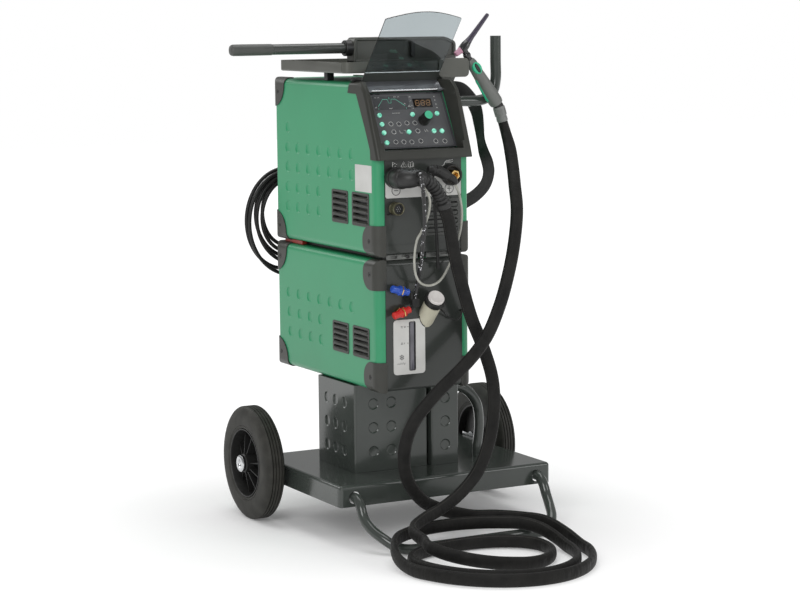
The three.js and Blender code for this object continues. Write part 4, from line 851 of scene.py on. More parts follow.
def case_body(name, z0, z1, grow):
    """The outside of a cabinet, grown by some distance: two rounded blocks, one met by the other."""
    low = (-CASE_HALF - grow, CASE_FRONT - grow, z0 - grow)
    high = (CASE_HALF + grow, CASE_REAR + grow, z1 + grow)
    body = block(name, low, high)
    pick(body, "edges", lambda c: abs(c[0].x - c[1].x) < 1e-6 and abs(c[0].z - c[1].z) < 1e-6)
    bpy.ops.mesh.bevel(offset=CASE_EDGE + grow, segments=9)
    object_mode()
    plan = block("plan", (low[0], low[1], low[2] - 0.01), (high[0], high[1], high[2] + 0.01))
    pick(plan, "edges", upright)
    bpy.ops.mesh.bevel(offset=CASE_CORNER + grow, segments=9)
    object_mode()
    combine(body, plan, "INTERSECT")
    return body


def pressed_plate(name, axis, low, high, radius, segments=6):
    """A block whose four edges along one axis are rounded."""
    body = block(name, low, high)
    others = [k for k in range(3) if k != axis]
    pick(body, "edges", lambda c: all(abs(c[0][k] - c[1][k]) < 1e-6 for k in others))
    bpy.ops.mesh.bevel(offset=radius, segments=segments)
    object_mode()
    return body


def profile_solid(name, points, rise):
    """A closed outline drawn point by point, filled and pulled into a solid."""
    piece = draw(name, [*points, points[0]])
    bpy.ops.mesh.remove_doubles(threshold=0.000005)
    bpy.ops.mesh.select_all(action="SELECT")
    bpy.ops.mesh.edge_face_add()
    bpy.ops.mesh.extrude_region_move(TRANSFORM_OT_translate={"value": rise})
    bpy.ops.mesh.select_all(action="SELECT")
    bpy.ops.mesh.normals_make_consistent(inside=False)
    bpy.ops.object.mode_set(mode="OBJECT")
    return piece


case_green = finish("case_green", (0.026, 0.262, 0.118), (0.031, 0.285, 0.131), (0.34, 0.42), 5, 1100, 0.05)
power_rows = ((0.167, 0.9916, 1), (0.170, 0.940, 7), (0.170, 0.890, 7), (0.172, 0.838, 4), (0.172, 0.7885, 4))
cooler_rows = ((0.176, 0.564, 7), (0.172, 0.513, 4), (0.168, 0.462, 4))
power_vents = ((-0.168, -0.080, 0.768, 0.850), (-0.279, -0.189, 0.768, 0.850))
cooler_vents = ((-0.164, -0.076, 0.445, 0.522), (-0.274, -0.186, 0.445, 0.522))
# the sloping front that the bezel and panel take out of the upper cabinet, as (y, z)
bezel_cut = ((-0.1736, 1.130), (-0.1736, 1.0887), (-0.2188, 1.0877), (-0.2617, 1.0098), (-0.2887, 0.9559),
             (-0.2907, 0.9317), (-0.360, 0.9317), (-0.360, 1.130))
# the bay behind the panel
panel_bay = ((-0.206, 1.0877), (-0.252, 1.004), (-0.281, 0.944), (-0.360, 0.944), (-0.360, 1.095),
             (-0.206, 1.095))
for name, (z0, z1), rows, vents, node in (
    ("cooler_case", COOLER_Z, cooler_rows, cooler_vents, "cooler_shell"),
    ("power_case", POWER_Z, power_rows, power_vents, "power_shell"),
):
    case = case_body(name, z0, z1, 0)
    for y0, y1, lip in ((CASE_FRONT - 0.01, -0.2950, -0.0100), (0.2330, CASE_REAR + 0.01, 0.0025)):
        combine(case, block("window", (-WINDOW_HALF, y0, z0 + lip), (WINDOW_HALF, y1, z1 - lip)))
    if node == "power_shell":
        combine(case, profile_solid("slope", [at(-0.150, y, z) for y, z in bezel_cut], Vector((0.300, 0, 0))))
        combine(case, profile_solid("bay", [at(-0.1085, y, z) for y, z in panel_bay], Vector((0.217, 0, 0))))
    for side in (-1, 1):
        wall = side * CASE_HALF
        for y0, y1, low, high in vents:
            x0, x1 = sorted((wall - side * 0.012, wall + side * 0.01))
            combine(case, pressed_plate("vent", 0, (x0, y0, low), (x1, y1, high), 0.006))
        centres = [at(wall, y - i * DIMPLE_PITCH, z) for y, z, count in rows for i in range(count)]
        combine(case, dimple_tool("press", centres, Vector((-side, 0, 0))))
    soften(case, 0)
    case.data.materials.append(case_green)
    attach(case, "machine")
    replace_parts(case, node)

# ---------------------------------------------------------------- end panels and corner caps
# Satin grey panels close both ends of each cabinet, rolled back at their upper and lower edges.
# Thick olive plastic caps, screwed on at the corners, wrap the green sheet.
CAP_Y = 0.069
CAP_Z = 0.075
CAP_LOBE = 0.037
CAP_QUARTER = 0.060
CAP_INNER = 0.103
panel_grey = finish("panel_grey", (0.029, 0.033, 0.030), (0.035, 0.039, 0.035), (0.20, 0.28), 7, 1200, 0.035,
                    coat=0.2, spec=0.34)
cap_olive = finish("cap_olive", (0.038, 0.039, 0.034), (0.047, 0.048, 0.042), (0.36, 0.46), 18, 1500, 0.14,
                   spec=0.34)
black_and_painted_slot_shade = finish("black_and_painted_slot_shade", (0.006, 0.006, 0.006), (0.012, 0.012, 0.012), (0.3, 0.45), 60, 900, 0.05)


def end_panel(name, node, z0, front, panel_top, roll):
    """The flat panel of one end, set in the cabinet's window."""
    edge = WINDOW_HALF - 0.0003
    y0, y1 = (FACE_Y, -0.2955) if front else (0.2335, CASE_REAR + 0.0013)
    foot = z0 + (0.0004 if front else 0.0028)
    plate = block(name, (-edge, y0, foot), (edge, y1, panel_top))
    outer = at(0, FACE_Y if front else CASE_REAR + 0.0013, 0).y
    top = at(0, 0, panel_top).z
    low = at(0, 0, foot).z
    for level, offset in ((top, roll), (low, 0.008 if front else 0.006)):
        if offset:
            pick(plate, "edges",
                 lambda c: all(abs(v.y - outer) < 1e-5 and abs(v.z - level) < 1e-5 for v in c))
            bpy.ops.mesh.bevel(offset=offset, segments=7)
            object_mode()
    plate.data.materials.append(panel_grey)
    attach(plate, "machine")
    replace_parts(plate, node)
    return plate


def corner_caps(name, z0, z1, front, tops):
    """Oval caps on the left and right corners of one end, at the top, the bottom or both."""
    caps = case_body(name, z0, z1, CAP_PROUD)
    combine(caps, case_body("inside", z0, z1, 0.0003))
    radius = CAP_LOBE if front else CAP_QUARTER
    y0 = CASE_FRONT - CAP_PROUD - radius if front else CASE_REAR - CAP_Y + CAP_PROUD
    y1 = CASE_FRONT + CAP_Y - CAP_PROUD if front else CASE_REAR + CAP_PROUD + radius
    past = 0.006 if front else radius + CAP_PROUD
    kept = None
    for top in tops:
        b0 = z1 - CAP_Z + CAP_PROUD if top else z0 - past
        b1 = z1 + past if top else z0 + CAP_Z - CAP_PROUD
        oval = pressed_plate("oval", 0, (-0.140, y0, b0), (0.140, y1, b1), radius, 14)
        if kept is None:
            kept = oval
        else:
            combine(kept, oval, "UNION")
    combine(caps, kept, "INTERSECT")
    combine(caps,
            block("middle", (-CAP_INNER, CASE_FRONT - 0.05, z0 - 0.05),
                  (CAP_INNER, CASE_REAR + 0.05, z1 + 0.05)))
    mid_y = CASE_FRONT + 0.031 if front else CASE_REAR - 0.031
    for top in tops:
        mid_z = z1 - 0.034 if top else z0 + 0.034
        for side in (-1, 1):
            hole = spun("hole", [(0, 0), (0.0062, 0), (0.0050, 0.0022), (0, 0.0022)],
                        at(side * (CASE_HALF + CAP_PROUD + 0.0001), mid_y, mid_z), Vector((-side, 0, 0)), 24)
            combine(caps, hole)
            screw = spun(f"{name}_screw_{'high' if top else 'low'}_{'left' if side < 0 else 'right'}", [
                (0, 0), (0.0046, 0), (0.0046, 0.0006), (0.0038, 0.0012), (0.0022, 0.0012), (0.0020, 0.0003),
                (0, 0.0003)],
                at(side * (CASE_HALF + CAP_PROUD - 0.0019), mid_y, mid_z), Vector((side, 0, 0)), 24)
            screw.data.materials.append(black_and_painted_slot_shade)
            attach(screw, "machine")
    soften(caps, 0.0011, 3, 40, clamp=False)
    caps.data.materials.append(cap_olive)
    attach(caps, "machine")
    return caps


for unit, (z0, z1), panel_top, roll, tops in (
    ("cooler", COOLER_Z, 0.6891, 0.0140, (True, False)), ("power", POWER_Z, 0.9314, 0.0, (False,)),
):
    plate = end_panel(f"{unit}_front_panel", f"{unit}_front", z0, True, panel_top, roll)
    if unit == "power":
        # a step pressed across the foot of the panel, and the dark opening of the intake
        combine(plate, pressed_plate("opening", 1, (0.001, -0.330, 0.744), (0.1048, -0.3030, 0.833), 0.008))
        combine(plate, block("groove", (-0.107, -0.320, 0.7265), (0.107, -0.3122, 0.7285)))
        combine(plate, block("bay", (-0.0975, -0.320, 0.8380), (0.0975, -0.3131, 0.8382)))
    soften(plate, 0)
    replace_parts(corner_caps(f"{unit}_front_caps", z0, z1, True, tops), f"{unit}_front")
    rear = end_panel(f"{unit}_rear_panel", f"{unit}_rear", z0, False, z1 - 0.0028, 0.006)
    for row in range(7):
        low = (z0 + z1) / 2 - 0.10 + row * 0.020
        combine(rear, pressed_plate("slot", 1, (-0.088, 0.2435, low), (-0.004, 0.260, low + 0.009), 0.004, 4))
    soften(rear, 0)
    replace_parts(corner_caps(f"{unit}_rear_caps", z0, z1, False, (True, False)), f"{unit}_rear")

# ---------------------------------------------------------------- rear gland and hank peg
# A ribbed gland grips the mains cable, and a bent steel peg below it carries the wound hank.
gland = spun("mains_gland", [
    (0, 0), (0.0155, 0), (0.0155, 0.0045), (0.0120, 0.0050), (0.0120, 0.0085), (0.0112, 0.0092),
    (0.0116, 0.0105),
    (0.0104, 0.0118), (0.0108, 0.0132), (0.0096, 0.0146), (0.0099, 0.0160), (0.0086, 0.0176),
    (0.0072, 0.0222),
    (0.0052, 0.0222), (0, 0.0222)], at(0.068, 0.2512, 0.850), Vector((0, 1, 0)), 36)
gland.data.materials.append(black_plastic)
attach(gland, "machine")
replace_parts(gland, "power_rear")
peg_z = 0.730 + 0.146 - 3 * 0.0116 - 0.005 - 0.008 - 0.0003
peg = tube("hank_peg", [(-0.060, 0.2505, peg_z), (-0.060, 0.290, peg_z), (-0.060, 0.330, peg_z),
                        (-0.060, 0.3385, peg_z + 0.0015), (-0.060, 0.3425, peg_z + 0.008),
                        (-0.060, 0.3427, peg_z + 0.016), (-0.060, 0.3427, peg_z + 0.0255)], 0.0078)
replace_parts(peg, "power_rear")

# ---------------------------------------------------------------- side grilles
# Moulded louvre inserts snap into the side openings: an olive frame, five slots and sloping blades.
# The floor of each slot is painted black: painted shade for the dark inside of the cabinet.
for unit, vents, node in (("cooler", cooler_vents, "cooler_grille"), ("power", power_vents, "power_grille")):
    for side, hand in ((-1, "left"), (1, "right")):
        for number, (y0, y1, low, high) in enumerate(vents, 1):
            x0, x1 = sorted((side * (CASE_HALF - 0.0115), side * (CASE_HALF + 0.0014)))
            frame_plate = pressed_plate(f"{unit}_louvre_{hand}_{number}", 0, (x0, y0 + 0.0003, low + 0.0003),
                                        (x1, y1 - 0.0003, high - 0.0003), 0.0058)
            pitch = (high - low - 0.008) / 5
            for slot in range(5):
                foot = low + 0.0045 + slot * pitch
                x0, x1 = sorted((side * (CASE_HALF - 0.0085), side * (CASE_HALF + 0.01)))
                gap = pressed_plate("gap", 0, (x0, y0 + 0.0065, foot + 0.0025),
                                    (x1, y1 - 0.0065, foot + pitch - 0.0018),
                                    0.0035, 4)
                combine(frame_plate, gap)
            outside = at(side * (CASE_HALF + 0.0014), 0, 0).x
            pick(frame_plate, "edges", lambda c: all(abs(v.x - outside) < 1e-5 for v in c))
            bpy.ops.mesh.bevel(offset=0.0009, segments=2, clamp_overlap=True)
            object_mode()
            soften(frame_plate, 0)
            frame_plate.data.materials.append(cap_olive)
            frame_plate.data.materials.append(black_and_painted_slot_shade)
            # the slot floors facing out take the black second material: painted shade in the slots
            depth = at(side * (CASE_HALF - 0.0085), 0, 0).x
            for face in frame_plate.data.polygons:
                if abs(face.center.x - depth) < 0.0002 and face.normal.x * side > 0.5:
                    face.material_index = 1
            for slot in range(5):
                foot = low + 0.0045 + slot * pitch
                blade = block(f"{unit}_blade_{hand}_{number}_{slot + 1}",
                              (side * CASE_HALF - 0.0050, y0 + 0.0070, foot + 0.0020),
                              (side * CASE_HALF + 0.0014, y1 - 0.0070, foot + 0.0036))
                pick(blade, "faces", lambda f: f.normal.x * side < -0.9)
                bpy.ops.transform.translate(value=(0, 0, 0.0040))
                object_mode()
                soften(blade, 0.0004, 2)
                blade.data.materials.append(cap_olive)
                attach(blade, "machine")
            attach(frame_plate, "machine")
            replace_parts(frame_plate, f"{node}_{hand}")

# ---------------------------------------------------------------- mat between the cabinets
# The power source stands on a black rubber mat and two rails with a round stud between their ends.
mat = block("cabinet_mat", (-0.098, -0.282, 0.6898), (0.098, 0.226, 0.7017))
soften(mat, 0.0015, 3)
mat.data.materials.append(cable_rubber)
rail_grey = finish("rail_grey", (0.10, 0.105, 0.10), (0.16, 0.165, 0.155), (0.35, 0.5), 30, 900, 0.1)
for name, x0, x1, y0 in (("rail_left", -0.098, -0.012, -0.304), ("rail_right", 0.014, 0.084, -0.300)):
    rail = block(name, (x0, y0, 0.6898), (x1, -0.2825, 0.7017))
    combine(rail, block("recess", (x0 + 0.012, y0 - 0.01, 0.6925), (x0 + 0.030, y0 + 0.006, 0.6995)))
    combine(rail, block("recess", (x0 + 0.042, y0 - 0.01, 0.6960), (x1 - 0.010, y0 + 0.004, 0.7030)))
    soften(rail, 0.0006, 2)
    rail.data.materials.append(rail_grey)
    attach(rail, "machine")
    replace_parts(rail, "unit_rails")
stud = spun("rail_stud",
            [(0, 0), (0.0045, 0), (0.0045, 0.0035), (0.0036, 0.0042), (0.0020, 0.0042), (0.0018, 0.003),
                          (0, 0.003)], at(-0.040, -0.3032, 0.6958), Vector((0, -1, 0)), 24)
stud.data.materials.append(black_and_painted_slot_shade)
red_strip = block("red_edge_strip", (-0.1135, 0.128, 0.6905), (-0.0985, 0.229, 0.7010))
soften(red_strip, 0.0015, 3)
red_strip.data.materials.append(finish("strip_red", (0.26, 0.020, 0.012), (0.34, 0.030, 0.018), (0.35, 0.5),
                                       40, 1100, 0.1))
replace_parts(red_strip, "unit_rails")
for piece in (mat, stud, red_strip):
    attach(piece, "machine")
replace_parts(mat, "unit_rails")

# ---------------------------------------------------------------- level plate
# A pale plate with rounded corners, notched round the filler neck, holds the long sight tube of the tank.
# Its marks are two level ticks, a snowflake and a zigzag.


def marks(name, lines, place, material, radius=0.00045):
    """Printed strokes, as fine round lines half sunk in a face; place puts (x, y) in mm on the face."""
    curve = bpy.data.curves.new(name, "CURVE")
    curve.dimensions = "3D"
    curve.bevel_depth = radius
    curve.bevel_resolution = 2
    curve.use_fill_caps = True
    for line in lines:
        spline = curve.splines.new("POLY")
        spline.points.add(len(line) - 1)
        for knot, p in zip(spline.points, line):
            knot.co = (*place(*p), 1)
    piece = bpy.data.objects.new(name, curve)
    bpy.context.scene.collection.objects.link(piece)
    select_only(piece)
    bpy.ops.object.convert(target="MESH")
    piece = bpy.context.object
    bpy.ops.object.shade_smooth_by_angle(angle=math.radians(50))
    piece.data.materials.append(material)
    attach(piece, "machine")
    return piece


def circle(x, y, radius, start=0, end=360, steps=24):
    """Part of a circle, as points in millimetres."""
    angles = [math.radians(start + (end - start) * k / steps) for k in range(steps + 1)]
    return [(x + radius * math.cos(a), y + radius * math.sin(a)) for a in angles]


NECK_TILT = math.radians(45)
neck_way = Vector((0, -math.cos(NECK_TILT), math.sin(NECK_TILT)))
neck_foot = at(0.008, FACE_Y - 0.0002, 0.552)
pale_plastic = finish("pale_plastic", (0.50, 0.50, 0.48), (0.58, 0.58, 0.56), (0.34, 0.44), 20, 1300, 0.06)
ink_black = finish("ink_black", (0.010, 0.010, 0.011), (0.016, 0.016, 0.017), (0.4, 0.5), 120, 900, 0.05)
sight_glass = finish("sight_glass", (0.050, 0.050, 0.062), (0.115, 0.112, 0.135), (0.10, 0.18), 26, 700, 0.02,
                     coat=0.6)
level_plate = pressed_plate("level_plate", 1, (-0.086, FACE_Y - 0.0018, 0.4095),
                            (0.001, FACE_Y + 0.002, 0.5440), 0.009)
combine(level_plate, pressed_plate("window", 1, (-0.0435, -0.330, 0.4180), (-0.0255, -0.300, 0.5380), 0.004))
combine(level_plate,
        spun("notch", [(0, -0.06), (0.0235, -0.06), (0.0235, 0.06), (0, 0.06)], neck_foot, neck_way, 48))
soften(level_plate, 0.0005, 2)
level_plate.data.materials.append(pale_plastic)
level_rim = pressed_plate("level_rim", 1, (-0.0437, FACE_Y - 0.0024, 0.4177),
                          (-0.0253, FACE_Y + 0.002, 0.5383), 0.004)
combine(level_rim, pressed_plate("window", 1, (-0.0418, -0.330, 0.4196), (-0.0272, -0.300, 0.5364), 0.003))
soften(level_rim, 0.0004, 2)
level_rim.data.materials.append(ink_black)
sight_tube = block("sight_tube", (-0.0418, FACE_Y - 0.0016, 0.4196), (-0.0272, FACE_Y + 0.003, 0.5364))
pick(sight_tube, "edges", lambda c: all(v.y < at(0, FACE_Y, 0).y for v in c) and upright(c))
bpy.ops.mesh.bevel(offset=0.0044, segments=8)
object_mode()
soften(sight_tube, 0)
sight_tube.data.materials.append(sight_glass)


def on_front(x, z):
    """A point on the front of the cabinets' panels, in millimetres."""
    return at(x / 1000, FACE_Y - 0.0002, z / 1000)


def on_level_plate(x, z):
    return at(x / 1000, FACE_Y - 0.0017, z / 1000)


flake = []
for turn in range(6):
    c, s = math.cos(turn * math.pi / 3 + math.pi / 6), math.sin(turn * math.pi / 3 + math.pi / 6)
    flake.append([(-64, 452), (-64 + 7 * c, 452 + 7 * s)])
    for lean in (-0.9, 0.9):
        c2 = math.cos(turn * math.pi / 3 + math.pi / 6 + lean)
        s2 = math.sin(turn * math.pi / 3 + math.pi / 6 + lean)
        flake.append([(-64 + 4 * c, 452 + 4 * s), (-64 + 4 * c + 2.6 * c2, 452 + 4 * s + 2.6 * s2)])
zigzag = [(-76, 434.5), (-73, 438), (-70, 434.5), (-66.5, 439.5), (-63.5, 434.5), (-60, 439.5), (-57, 434.5),
          (-54, 438)]
level_marks = marks("level_marks", [
    *flake, zigzag, [(-49, 526), (-44.5, 526)], [(-49, 486), (-44.5, 486)],
    [(-66, 528), (-60, 528), (-63, 523.5), (-66, 528)], [(-56.5, 524), (-56.5, 528)],
    [(-54, 524), (-54, 528)],
    [(-66, 484), (-60, 484), (-63, 488.5), (-66, 484)], [(-56.5, 484), (-56.5, 488)],
], on_level_plate, ink_black, 0.00055)
for piece, slot in ((level_plate, "pale_plate"), (level_rim, "black_plastic"), (sight_tube, "smoked_plastic"),
                    (level_marks, "black_plastic")):
    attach(piece, "machine")
    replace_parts(piece, "cooler_front")

# ---------------------------------------------------------------- filler neck and cap
# The tank is filled through a cream neck that leans out of the front at 45 degrees.
# Its cap has a black ribbed ring and a white top, and hangs on a black tether.
cream = finish("cream", (0.46, 0.44, 0.34), (0.55, 0.53, 0.42), (0.38, 0.5), 16, 1200, 0.05)
cap_white = finish("cap_white", (0.60, 0.57, 0.55), (0.70, 0.67, 0.65), (0.3, 0.42), 60, 900, 0.12)
filler_pipe = spun("filler_pipe",
                   [(0, -0.030), (0.022, -0.030), (0.022, 0.0448), (0.0212, 0.046), (0, 0.046)],
                   neck_foot, neck_way, 48)
combine(filler_pipe, block("behind", (-0.06, FACE_Y - 0.0001, 0.40), (0.08, -0.20, 0.70)))
combine(filler_pipe, block("under_plate", (-0.090, -0.3154, 0.40), (0.0012, -0.30, 0.5502)))
soften(filler_pipe, 0)
filler_pipe.data.materials.append(cream)
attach(filler_pipe, "machine")
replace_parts(filler_pipe, "filler_neck")
cap_foot = neck_foot + neck_way * 0.0463
cap_ring = spun("filler_ring", [
    (0, 0), (0.0238, 0), (0.0246, 0.0010), (0.0246, 0.0128), (0.0238, 0.0140), (0.0206, 0.0142), (0, 0.0142)],
    cap_foot, neck_way, 60)


def outward(face, foot, way, least):
    """Whether a face looks straight out from an axis, some distance from it."""
    out = face.center - foot
    out = out - way * out.dot(way)
    return out.length > least and face.normal.dot(out.normalized()) > 0.95


pick(cap_ring, "faces", lambda f: outward(f, cap_foot, neck_way, 0.0243) and f.index % 2 == 0)
bpy.ops.mesh.inset(thickness=0.0003, depth=0.0011, use_individual=True)
object_mode()
soften(cap_ring, 0)
cap_ring.data.materials.append(black_plastic)
cap_top = spun("filler_top", [
    (0, 0.0144), (0.0196, 0.0144), (0.0202, 0.0150), (0.0202, 0.0212), (0.0192, 0.0226), (0.0174, 0.0229),
    (0.0162, 0.0222), (0.0150, 0.0219), (0, 0.0219)], cap_foot, neck_way, 56)
soften(cap_top, 0)
cap_top.data.materials.append(cap_white)
for piece, slot in ((cap_ring, "black_plastic"), (cap_top, "white_plastic")):
    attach(piece, "cap_body")
    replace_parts(piece, "filler_cap")
tether = tube("cap_tether", [
    (0.0322, -0.336, 0.566), (0.0383, -0.342, 0.559), (0.058, -0.3253, 0.545), (0.078, -0.334, 0.536),
    (0.094, -0.328, 0.545), (0.100, -0.323, 0.556), (0.100, -0.3138, 0.556)], 0.0019, cable_rubber,
    0.002)
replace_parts(tether, "filler_tether")

# ---------------------------------------------------------------- water couplings
# Two push-on couplings, blue above for the flow and red below for the return, each on a brass nut.
brass = finish("brass", (0.62, 0.40, 0.13), (0.74, 0.52, 0.22), (0.16, 0.28), 80, 900, 0.05, metal=1.0)
blue_plastic = finish("blue_plastic", (0.012, 0.060, 0.36), (0.020, 0.085, 0.46), (0.22, 0.34), 40, 1200,
                      0.05)
red_plastic = finish("red_plastic", (0.46, 0.014, 0.012), (0.58, 0.022, 0.018), (0.22, 0.34), 40, 1200, 0.05)
for colour, x, z, lean, paint in (("blue", -0.076, 0.618, -0.25, blue_plastic),
                                  ("red", -0.072, 0.565, 0.3, red_plastic)):
    seat = at(x, FACE_Y - 0.0002, z)
    way = Vector((math.cos(lean), 0, math.sin(lean)))
    middle = at(x, FACE_Y - 0.022, z)
    nut = spun(f"{colour}_nut", [(0, 0), (0.0098, 0), (0.0104, 0.0008), (0.0104, 0.0102), (0.0098, 0.0110),
                                 (0.0078, 0.0112), (0.0078, 0.0135), (0, 0.0135)], seat, Vector((0, -1, 0)),
                                 6)
    soften(nut, 0.0004, 2)
    nut.data.materials.append(brass)
    body = spun(f"{colour}_coupling_body", [
        (0, -0.0260), (0.0068, -0.0260), (0.0086, -0.0246), (0.0091, -0.0225), (0.0088, -0.0165),
        (0.0091, -0.0110),
        (0.0095, -0.0070), (0.0116, -0.0058), (0.0120, -0.0040), (0.0120, -0.0010), (0.0104, 0.0002),
        (0.0104, 0.0032), (0.0120, 0.0044), (0.0120, 0.0070), (0.0108, 0.0082), (0.0088, 0.0092),
        (0.0088, 0.0130),
        (0.0076, 0.0140), (0.0076, 0.0165), (0.0088, 0.0175), (0.0086, 0.0205), (0.0070, 0.0220),
        (0, 0.0220)],
        middle, way, 40)
    pick(body, "faces", lambda f: outward(f, middle, way, 0.0119) and f.index % 2 == 0)
    bpy.ops.mesh.inset(thickness=0.0002, depth=-0.0007, use_individual=True)
    object_mode()
    soften(body, 0)
    body.data.materials.append(paint)
    collar = spun(f"{colour}_collar", [(0.0098, 0.0004), (0.0122, 0.0004), (0.0124, 0.0008), (0.0124, 0.0027),
                                       (0.0122, 0.0031), (0.0098, 0.0031)], middle, way, 6)
    soften(collar, 0.0002, 2)
    collar.data.materials.append(brass)
    seat_sleeve = spun(f"{colour}_seat", [(0, 0.0137), (0.0066, 0.0137), (0.0066, 0.0200), (0, 0.0200)], seat,
                       Vector((0, -1, 0)), 24)
    seat_sleeve.data.materials.append(paint)
    for piece, slot in ((nut, "steel"), (body, f"{colour}_plastic"), (collar, "steel"),
                        (seat_sleeve, f"{colour}_plastic")):
        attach(piece, "machine")
        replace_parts(piece, f"coupling_{colour}")

# ---------------------------------------------------------------- power source front
# Below the bezel: a pale socket plate, a round control socket, an air intake and printed white symbols.
# All stand on the flat grey panel.
white_print = finish("white_print", (0.62, 0.62, 0.60), (0.72, 0.72, 0.70), (0.4, 0.5), 90, 900, 0.04)
grille_grey = finish("grille_grey", (0.050, 0.053, 0.049), (0.062, 0.065, 0.060), (0.3, 0.4), 30, 1300, 0.08)
intake = pressed_plate("front_intake", 1, (0.0015, FACE_Y - 0.0002, 0.7445), (0.1043, -0.3035, 0.8325),
                       0.0078)
for row in range(4):
    foot = 0.7505 + row * 0.020
    combine(intake,
            pressed_plate("gap", 1, (0.0105, -0.330, foot), (0.0955, -0.3065, foot + 0.0145), 0.006, 5))
soften(intake, 0.0006, 2)
intake.data.materials.append(grille_grey)
intake.data.materials.append(black_and_painted_slot_shade)
# the floors of the intake's slots take the black second material: painted shade for the dark inside of the
# intake
depth = at(0, -0.3065, 0).y
for face in intake.data.polygons:
    if abs(face.center.y - depth) < 0.0003 and face.normal.y < -0.5:
        face.material_index = 1
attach(intake, "machine")
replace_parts(intake, "power_front")
for row in range(4):
    foot = 0.7505 + row * 0.020
    blade = block(f"intake_blade_{row + 1}", (0.0108, -0.3105, foot + 0.0005),
                  (0.0952, FACE_Y + 0.0003, foot + 0.0030))
    pick(blade, "faces", lambda f: f.normal.y > 0.9)
    bpy.ops.transform.translate(value=(0, 0, 0.0075))
    object_mode()
    soften(blade, 0.0006, 2)
    blade.data.materials.append(grille_grey)
    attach(blade, "machine")
front_marks = marks("front_marks", [
    # a hand torch, a triangle with a stroke, an open book, and an arc from a torch
    [(-84, 913), (-84, 927)], [(-84, 920), (-77, 924), (-72, 920)], [(-80, 914), (-76, 917), (-73, 915)],
    [(-81, 926), (-78, 923)],
    [(-61, 914), (-53.5, 927), (-46, 914), (-61, 914)], [(-53.5, 923), (-53.5, 918)],
    [(-53.5, 916.2), (-53.5, 915.6)],
    [(-41, 914), (-41, 926), (-35, 924), (-29, 926), (-29, 914), (-35, 912.5), (-41, 914)],
    [(-35, 924), (-35, 912.5)],
    [(-26.5, 924), (-26.5, 913)],
    [(52, 912), (57, 914), (60, 921), (65, 925), (82, 926)], [(60, 921), (76, 920), (82, 922)],
    [(66, 925), (66, 920)],
    [(70, 925.3), (70, 920)], [(74, 925.6), (74, 920)], [(17, 908), (20, 911)],
], on_front, white_print, 0.0006)
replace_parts(front_marks, "power_front")
# the control socket: a ribbed bronze coloured ring round a black insert with six contacts about a seventh
bronze = finish("bronze", (0.085, 0.078, 0.045), (0.125, 0.115, 0.070), (0.24, 0.36), 70, 1100, 0.06,
                metal=0.5)
control_foot = at(-0.079, FACE_Y, 0.815)
FORWARD = Vector((0, -1, 0))
control_ring = spun("control_socket_ring", [
    (0, 0), (0.0158, 0), (0.0158, 0.0030), (0.0148, 0.0036), (0.0148, 0.0050), (0.0158, 0.0056),
    (0.0158, 0.0205),
    (0.0150, 0.0222), (0.0136, 0.0226), (0.0126, 0.0216), (0.0124, 0.0120), (0, 0.0120)], control_foot,
    FORWARD, 48)
pick(control_ring, "faces", lambda f: outward(f, control_foot, FORWARD, 0.0157) and f.index % 2 == 0)
bpy.ops.mesh.inset(thickness=0.0002, depth=-0.0006, use_individual=True)
object_mode()
soften(control_ring, 0)
control_ring.data.materials.append(bronze)
control_insert = spun("control_socket_insert", [
    (0, 0.0120), (0.0122, 0.0120), (0.0122, 0.0196), (0.0114, 0.0204), (0.0092, 0.0204), (0.0088, 0.0180),
    (0, 0.0180)],
    control_foot, FORWARD, 40)
control_insert.data.materials.append(black_plastic)
for turn in range(7):
    spread = 0 if turn == 6 else 0.0056
    spot = control_foot + Vector((spread * math.cos(turn * math.pi / 3), 0,
                                  spread * math.sin(turn * math.pi / 3)))
    pin = spun(f"contact_{turn + 1}",
               [(0, 0.0178), (0.0011, 0.0178), (0.0011, 0.0196), (0.0007, 0.0202), (0, 0.0202)],
               spot, FORWARD, 14)
    pin.data.materials.append(bright_metal)
    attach(pin, "machine")
catch = block("control_socket_catch", (-0.0990, FACE_Y - 0.008, 0.7990), (-0.0880, FACE_Y - 0.0002, 0.8025))
soften(catch, 0.0008, 2)
catch.data.materials.append(black_plastic)
for piece, slot in ((control_ring, "steel"), (control_insert, "black_plastic"), (catch, "black_plastic")):
    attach(piece, "machine")
    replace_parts(piece, "power_front")
# a blank pale label on the left side
label = pressed_plate("side_label", 0, (-0.13035, -0.293, 0.853), (-0.1299, -0.207, 0.918), 0.0015, 3)
soften(label, 0)
label.data.materials.append(pale_plastic)
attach(label, "machine")
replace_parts(label, "power_shell")

# ---------------------------------------------------------------- power sockets
# Two black socket rings on a pale plate; the right one shows its brass hexagon, bored through.
# Under each is its sign in a ring.
socket_plate = pressed_plate("socket_plate_pale", 1, (-0.104, FACE_Y - 0.0014, 0.840),
                             (0.104, FACE_Y - 0.0002, 0.892), 0.005)
soften(socket_plate, 0.0004, 2)
socket_plate.data.materials.append(pale_plastic)
minus_ring = spun("minus_ring", [
    (0, 0.0002), (0.0242, 0.0002), (0.0250, 0.0012), (0.0250, 0.0078), (0.0240, 0.0090), (0.0226, 0.0090),
    (0.0220, 0.0080), (0, 0.0080)], at(-0.082, FACE_Y, 0.890), FORWARD, 56)
minus_ring.data.materials.append(black_plastic)
plus_foot = at(0.075, FACE_Y, 0.890)
plus_ring = spun("plus_ring", [
    (0, 0.0002), (0.0252, 0.0002), (0.0260, 0.0012), (0.0260, 0.0130), (0.0246, 0.0158), (0.0222, 0.0160),
    (0.0200, 0.0146), (0.0186, 0.0110), (0.0182, 0.0040), (0, 0.0040)], plus_foot, FORWARD, 56)
soften(plus_ring, 0)
plus_ring.data.materials.append(black_plastic)
plus_nut = spun("plus_nut", [
    (0, 0.0042), (0.0126, 0.0042), (0.0130, 0.0048), (0.0130, 0.0248), (0.0120, 0.0258), (0.0076, 0.0258),
    (0.0070, 0.0250), (0.0070, 0.0100), (0, 0.0100)], plus_foot, FORWARD, 6)
